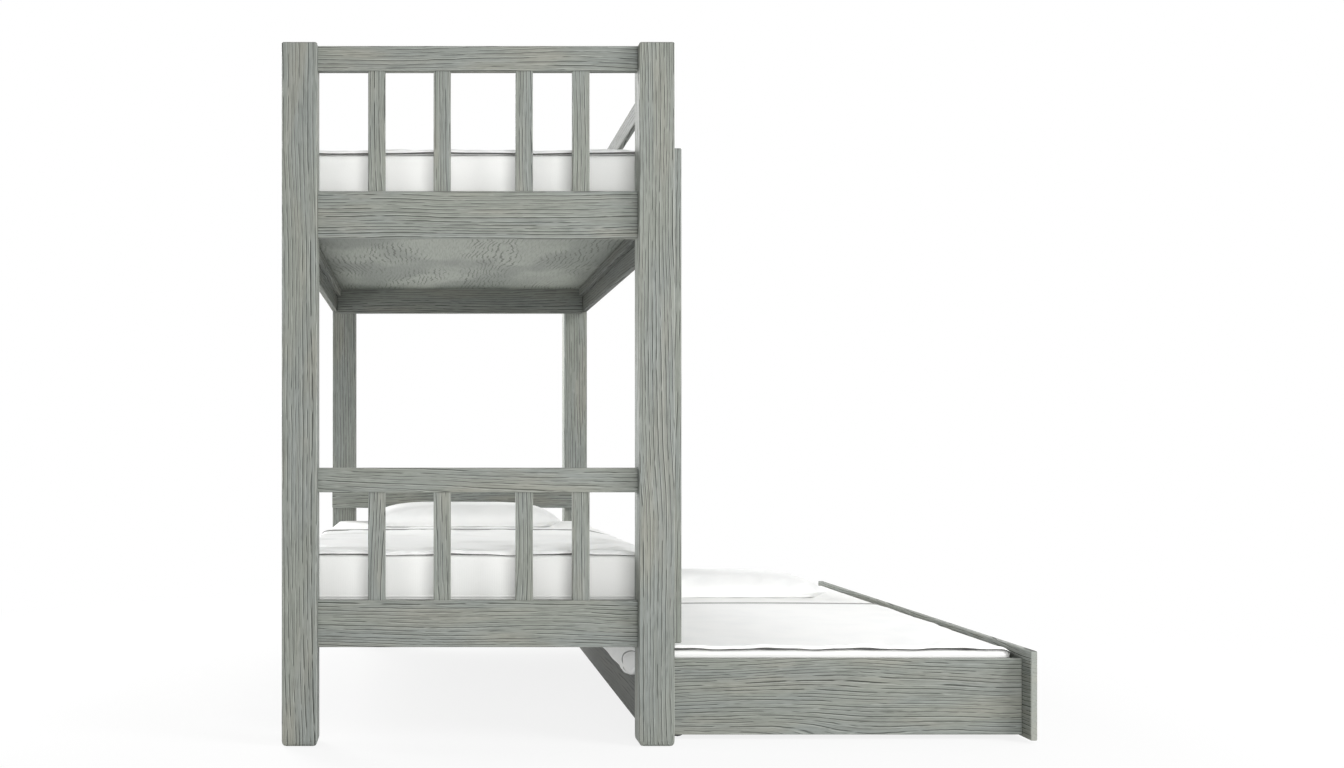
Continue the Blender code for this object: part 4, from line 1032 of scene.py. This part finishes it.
def long_swells(px, py, seed):
    """Low, slow hills: a sum of six sine waves of 15 to 45 cm in chosen directions."""
    rng = np.random.default_rng(seed)
    total = np.zeros_like(px)
    for _ in range(6):
        heading = rng.uniform(0, math.pi)
        length = rng.uniform(0.15, 0.45)
        phase = rng.uniform(0, 2 * math.pi)
        wave = (px * math.cos(heading) + py * math.sin(heading)) / length
        total += np.sin(2 * math.pi * wave + phase)
    return total / 6


def surface_normals(sheet):
    """Unit normals of a grid, from the cross product of its two directions."""
    across = np.gradient(sheet, axis=1)
    along = np.gradient(sheet, axis=0)
    normal = np.cross(across, along)
    return normal / np.linalg.norm(normal, axis=-1, keepdims=True)


def sewn_duvet(name, bed, under, thickness, rows, body):
    """Build a duvet from its lower sheet and thickness, with its painted shadows at hem and fold.

    Returns the piece and how firmly each point is held while the cloth swells.
    """
    normal = surface_normals(under)
    over = under + normal * thickness[..., None]
    over[0] = under[0] + normal[0] * SEAM_RISE
    under = np.concatenate([over[:1], under[1:]])
    points, quads, low, high = sewn_sheets(under, over)
    piece = new_piece(name, points + np.array(places[bed]), quads, cotton.material)
    # Slots for the painted hem shadow and the fold cord's painted shadow.
    for shadow_finish in (hem_shadow, cord):
        piece.data.materials.append(shadow_finish.material)
    cells = (len(rows) - 1, under.shape[1] - 1)
    under_finish = np.zeros(cells, dtype=np.int32)
    over_finish = np.zeros(cells, dtype=np.int32)
    # Painted shadow on the underside by the hem.
    under_finish[:np.searchsorted(rows, rows[0] + HEM_SHADOW_REACH)] = HEM_SHADOW_SLOT
    # The fold's cord, coloured grey as a painted shadow.
    first = np.searchsorted(rows, FOLDS[bed] - CORD_HALF)
    last = np.searchsorted(rows, FOLDS[bed] + CORD_HALF)
    over_finish[first:last] = FOLD_SHADOW_SLOT
    finishes = np.concatenate([under_finish.ravel(), over_finish.ravel()])
    piece.data.polygons.foreach_set("material_index", finishes)
    held = np.zeros(len(points))
    held[high.ravel()] = FILLING_HOLD
    held[high[first - 1:last + 2].ravel()] = 1.0
    held[high[:HEM_ROWS].ravel()] = HEM_HOLD
    held[low.ravel()] = 1.0
    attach(piece, body)
    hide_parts(bed + "_duvet")
    print(name, "points:", len(points))
    return piece, held


# A small crosswise pucker in each bunk's duvet: its place, its two reaches and its height.
PUCKER = ((-0.085, -0.605), (0.060, 0.012), 0.0045)


def make_duvet(bed, seed, move=None):
    """A duvet on a bunk's mattress, sewn all round, and how far its cloth moved."""
    columns = eased_lines(MATTRESS_WIDTH - 2 * SIDE_INSET, FIRST_COLUMN, DUVET_CELL)
    run = columns[None, :]
    columns = columns - columns[-1] / 2
    rows = duvet_rows(FOLDS[bed], DUVET_CELL)
    under = lying_sheet(bed, columns, rows)
    px, py = under[..., 0], under[..., 1]
    (pucker_x, pucker_y), (reach_x, reach_y), pucker_height = PUCKER
    across = (px + places[bed][0] - pucker_x) / reach_x
    along = (py + places[bed][1] - pucker_y) / reach_y
    pucker = pucker_height * np.exp(-across ** 2 - along ** 2)
    ahead = rows - FOLDS[bed]
    profile = np.interp(ahead, *np.array(FOLD_PROFILE).T)
    calm = np.clip(np.abs(ahead) / FOLD_CALM, 0, 1)[:, None]
    plain = profile[:, None] + long_swells(px, py, seed) * SWELL_HEIGHT * calm + pucker
    thickness = plain * border_share(rows, run, WALL_REACH, LADDER_REACH)
    piece, held = sewn_duvet(bed + "_cotton_duvet", bed, under, thickness, rows, "bunk_frame")
    move = swell(piece, held, cap=0.0035, move=move, **DUVET_SWELL)
    soften(piece)
    return move


lower_move = make_duvet("lower", 3)
make_duvet("upper", 4, move=lower_move)

# %% [markdown]
# ## The trundle's duvet
# This duvet also hangs over the back of the trundle, outside the panel, where its hem rises
# towards the foot end and its corner makes a round lobe with a curved crease, along which runs a
# grey line of painted shadow. At the other corner of the foot it droops over the mattress's round
# corner. Its cross lines start at the hanging hem, go up the panel, over its edge, up the
# mattress's shoulder and on across the top. The thickness again goes outwards along the normal.

# %% Hanging duvet
PANEL_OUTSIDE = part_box("trundle_back_panel")[0].x
PANEL_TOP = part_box("trundle_back_panel")[1].z
HANG_LENGTH = 0.102
HANG_RISE = 0.078
HANG_RISE_RUN = 0.42
HANG_LINES = 22
HANG_WAVE = 0.0016
HANG_WAVE_LENGTH = 0.31
HANG_THICKNESS = 0.0095
HANG_REACH = 0.012
LOBE_PLACE = (0.150, 0.0435)
LOBE_REACH = (0.220, 0.036)
LOBE_HEIGHT = 0.0025
LOBE_SLANT = 0.09
CREASE_PLACE = 1.03
CREASE_DEPTH = 0.0022
CREASE_WIDTH = 0.12
OVER_EDGE = ((-0.0004, -0.0015), (0.0012, 0.0004), (0.0060, 0.0008), (0.0095, 0.0008),
             (0.0140, 0.0012), (0.0200, 0.0018), (0.0245, 0.0035))


def hanging_columns(rows, centre):
    """Places of the lower side from the hem up to the mattress, one column at a time.

    On the panel, the height is the panel's top less a share of the hanging
    length, and the cloth stands off in long waves, more the lower it hangs.
    """
    rise = HANG_RISE * np.clip(1 - rows / HANG_RISE_RUN, 0, 1) ** 2
    wave = HANG_WAVE * (1 + np.sin(2 * math.pi * rows / HANG_WAVE_LENGTH + 0.8))
    share, rise_grid = np.meshgrid(np.linspace(1, 0.03, HANG_LINES), rise)
    x = PANEL_OUTSIDE - GAP - wave[:, None] * share
    z = PANEL_TOP - (HANG_LENGTH - rise_grid) * share
    bend = np.array(OVER_EDGE)
    x = np.concatenate([x, np.tile(PANEL_OUTSIDE + bend[:, 0], (len(rows), 1))], axis=1)
    z = np.concatenate([z, np.tile(PANEL_TOP + bend[:, 1], (len(rows), 1))], axis=1)
    y = np.tile((rows - MATTRESS_LENGTH / 2)[:, None], (1, x.shape[1]))
    return np.stack([x - centre[0], y, z - centre[2]], axis=-1)


def corner_lobe(rows, height):
    """How far the hanging corner stands out: an oval lobe with a groove round it."""
    across = (rows - LOBE_PLACE[0]) / LOBE_REACH[0]
    up = (height + LOBE_PLACE[1] + LOBE_SLANT * (rows - LOBE_PLACE[0])) / LOBE_REACH[1]
    reach = np.sqrt(across ** 2 + up ** 2)
    lobe = LOBE_HEIGHT * (1 - smooth(reach, 0.80, 1.0))
    return lobe - CREASE_DEPTH * np.exp(-((reach - CREASE_PLACE) / CREASE_WIDTH) ** 2)


def lobe_crease_shadow(x, y, z):
    """A painted shadow along the corner lobe's crease, as a mask: the same oval, open to the hem.
    """
    along = y + MATTRESS_LENGTH / 2 - LOBE_PLACE[0]
    across = along / LOBE_REACH[0]
    up = (z - PANEL_TOP + LOBE_PLACE[1] + along * LOBE_SLANT) / LOBE_REACH[1]
    reach = (across * across + up * up).root()
    line = abs(reach - CREASE_PLACE).falls(0.025, 0.060)
    return line * up.rises(-0.85, -0.60) * x.falls(PANEL_OUTSIDE - 0.002, PANEL_OUTSIDE) * 0.85


def make_trundle_duvet(name, seed):
    """The duvet on the trundle, one sewn piece with its hanging side.

    Its thickness goes by a smooth step from the hanging side's even one to
    that of the fold's profile and the swells, and the lobe is added to it.
    """
    centre = places["trundle"]
    columns = eased_lines(MATTRESS_WIDTH - 2 * SIDE_INSET, FIRST_COLUMN, TRUNDLE_CELL)
    columns = columns - columns[-1] / 2
    rows = duvet_rows(FOLDS["trundle"], TRUNDLE_CELL)
    top = lying_sheet("trundle", columns, rows)
    hang = hanging_columns(rows, centre)
    under = np.concatenate([hang, top[:, 3:]], axis=1)
    steps = np.linalg.norm(np.diff(under, axis=1), axis=-1)
    run = np.concatenate([np.zeros((len(rows), 1)), np.cumsum(steps, axis=1)], axis=1)
    ahead = (rows - FOLDS["trundle"])[:, None]
    profile = np.interp(ahead, *np.array(FOLD_PROFILE).T)
    calm = np.clip(np.abs(ahead) / FOLD_CALM, 0, 1)
    swells = long_swells(run, under[..., 1], seed) * SWELL_HEIGHT * calm
    line = np.arange(under.shape[1])[None, :]
    hanging = 1 - smooth(line, HANG_LINES - 4, HANG_LINES + 9)
    plain = (profile + swells) * (1 - hanging) + HANG_THICKNESS * hanging
    height = under[..., 2] + centre[2] - PANEL_TOP
    lobe = corner_lobe(rows[:, None], height) * (line < HANG_LINES)
    thickness = (plain + lobe) * border_share(rows, run, HANG_REACH, TUCK_REACH)
    fold_row = np.searchsorted(rows, FOLDS["trundle"])
    print("flat widths: hem", round(run[0, -1], 3), "fold", round(run[fold_row, -1], 3),
          "widest", round(run[:, -1].max(), 3), "length", round(rows[-1] - rows[0], 3))
    piece, held = sewn_duvet(name, "trundle", under, thickness, rows, "trundle")
    # Cotton with a painted shadow along the corner lobe's crease.
    piece.data.materials[0] = cotton_finish("cotton_with_painted_crease_shadow", lobe_crease_shadow).material
    swell(piece, held, cap=0.003, **DUVET_SWELL)
    soften(piece)


make_trundle_duvet("trundle_cotton_duvet", 7)

# %% [markdown]
# ## Pillows
# A pillow is the simplest filled cover: two rectangles sewn together. Filling pulls its sides
# in and leaves its corners as points. The grid's lines are close together at the seam, the
# height over the plan is the product of two curves that fall to zero there, and the cloth
# solver adds the wrinkles that run in from the seam. The lower sheet rests on the mattress.

# %% Pillow form
PILLOW_WIDTH = 0.720
PILLOW_LENGTH = 0.440
PILLOW_HEIGHT = 0.085
PILLOW_DRAW = 0.05
PILLOW_SEAM_HEIGHT = 0.20
PILLOW_CELLS = (84, 58)
# The grid is closer at the seams by this share of a sine, and the cover is this much smaller
# than the pillow's full size, which leaves room to swell.
PILLOW_EASE = 0.55
PILLOW_START = 0.985
PILLOW_SWELL_ROOM = 0.006


def make_pillow(name, node, bed):
    """A pillow on a bed, about the middle of its solid.

    Its side lines draw in by a parabola, its loft is the product of the
    roots of 1 less the fourth power of each direction, and a dent lies near
    its middle.
    """
    low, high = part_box(node)
    centre = np.array([(low.x + high.x) / 2, (low.y + high.y) / 2, places[bed][2]])
    even = [np.linspace(-1, 1, count + 1) for count in PILLOW_CELLS]
    a, b = np.meshgrid(*(np.sin(line * math.pi / 2) * PILLOW_EASE + line * (1 - PILLOW_EASE)
                         for line in even))
    x = PILLOW_WIDTH / 2 * a * (1 - PILLOW_DRAW * (1 - b ** 2)) * PILLOW_START
    y = PILLOW_LENGTH / 2 * b * (1 - PILLOW_DRAW * (1 - a ** 2)) * PILLOW_START
    loft = np.sqrt(np.clip(1 - a ** 4, 0, 1)) * np.sqrt(np.clip(1 - b ** 4, 0, 1))
    on = crown_height(x + centre[0] - places[bed][0], y + centre[1] - places[bed][1])
    seam = PILLOW_HEIGHT * PILLOW_SEAM_HEIGHT
    dent = 1 - 0.10 * np.exp(-((a - 0.12) ** 2 + (b + 0.1) ** 2) / 0.30)
    rise = (PILLOW_HEIGHT - seam - PILLOW_SWELL_ROOM) * loft * dent
    over = np.stack([x, y, on + GAP + seam + rise], axis=-1)
    under = np.stack([x, y, on + GAP + seam * (1 - np.clip(loft * 2, 0, 1))], axis=-1)
    under[[0, -1]] = over[[0, -1]]
    under[:, [0, -1]] = over[:, [0, -1]]
    points, quads, low_index, _ = sewn_sheets(under, over)
    piece = new_piece(name, points + centre, quads, cotton.material)
    held = np.zeros(len(points))
    resting = np.flatnonzero(points[:, 2] - GAP - 0.0005 < crown_height(0, 0) + 0.001)
    held[np.intersect1d(resting, low_index.ravel())] = 1.0
    swell(piece, held, growth=0.03, pressure=3.0, cap=0.009, bending=0.4)
    soften(piece)
    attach(piece, body_of_node[node])
    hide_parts(node)
    print(name, "points:", len(points))


make_pillow("lower_cotton_pillow", "lower_pillow", "lower")
make_pillow("trundle_cotton_pillow", "trundle_pillow", "trundle")
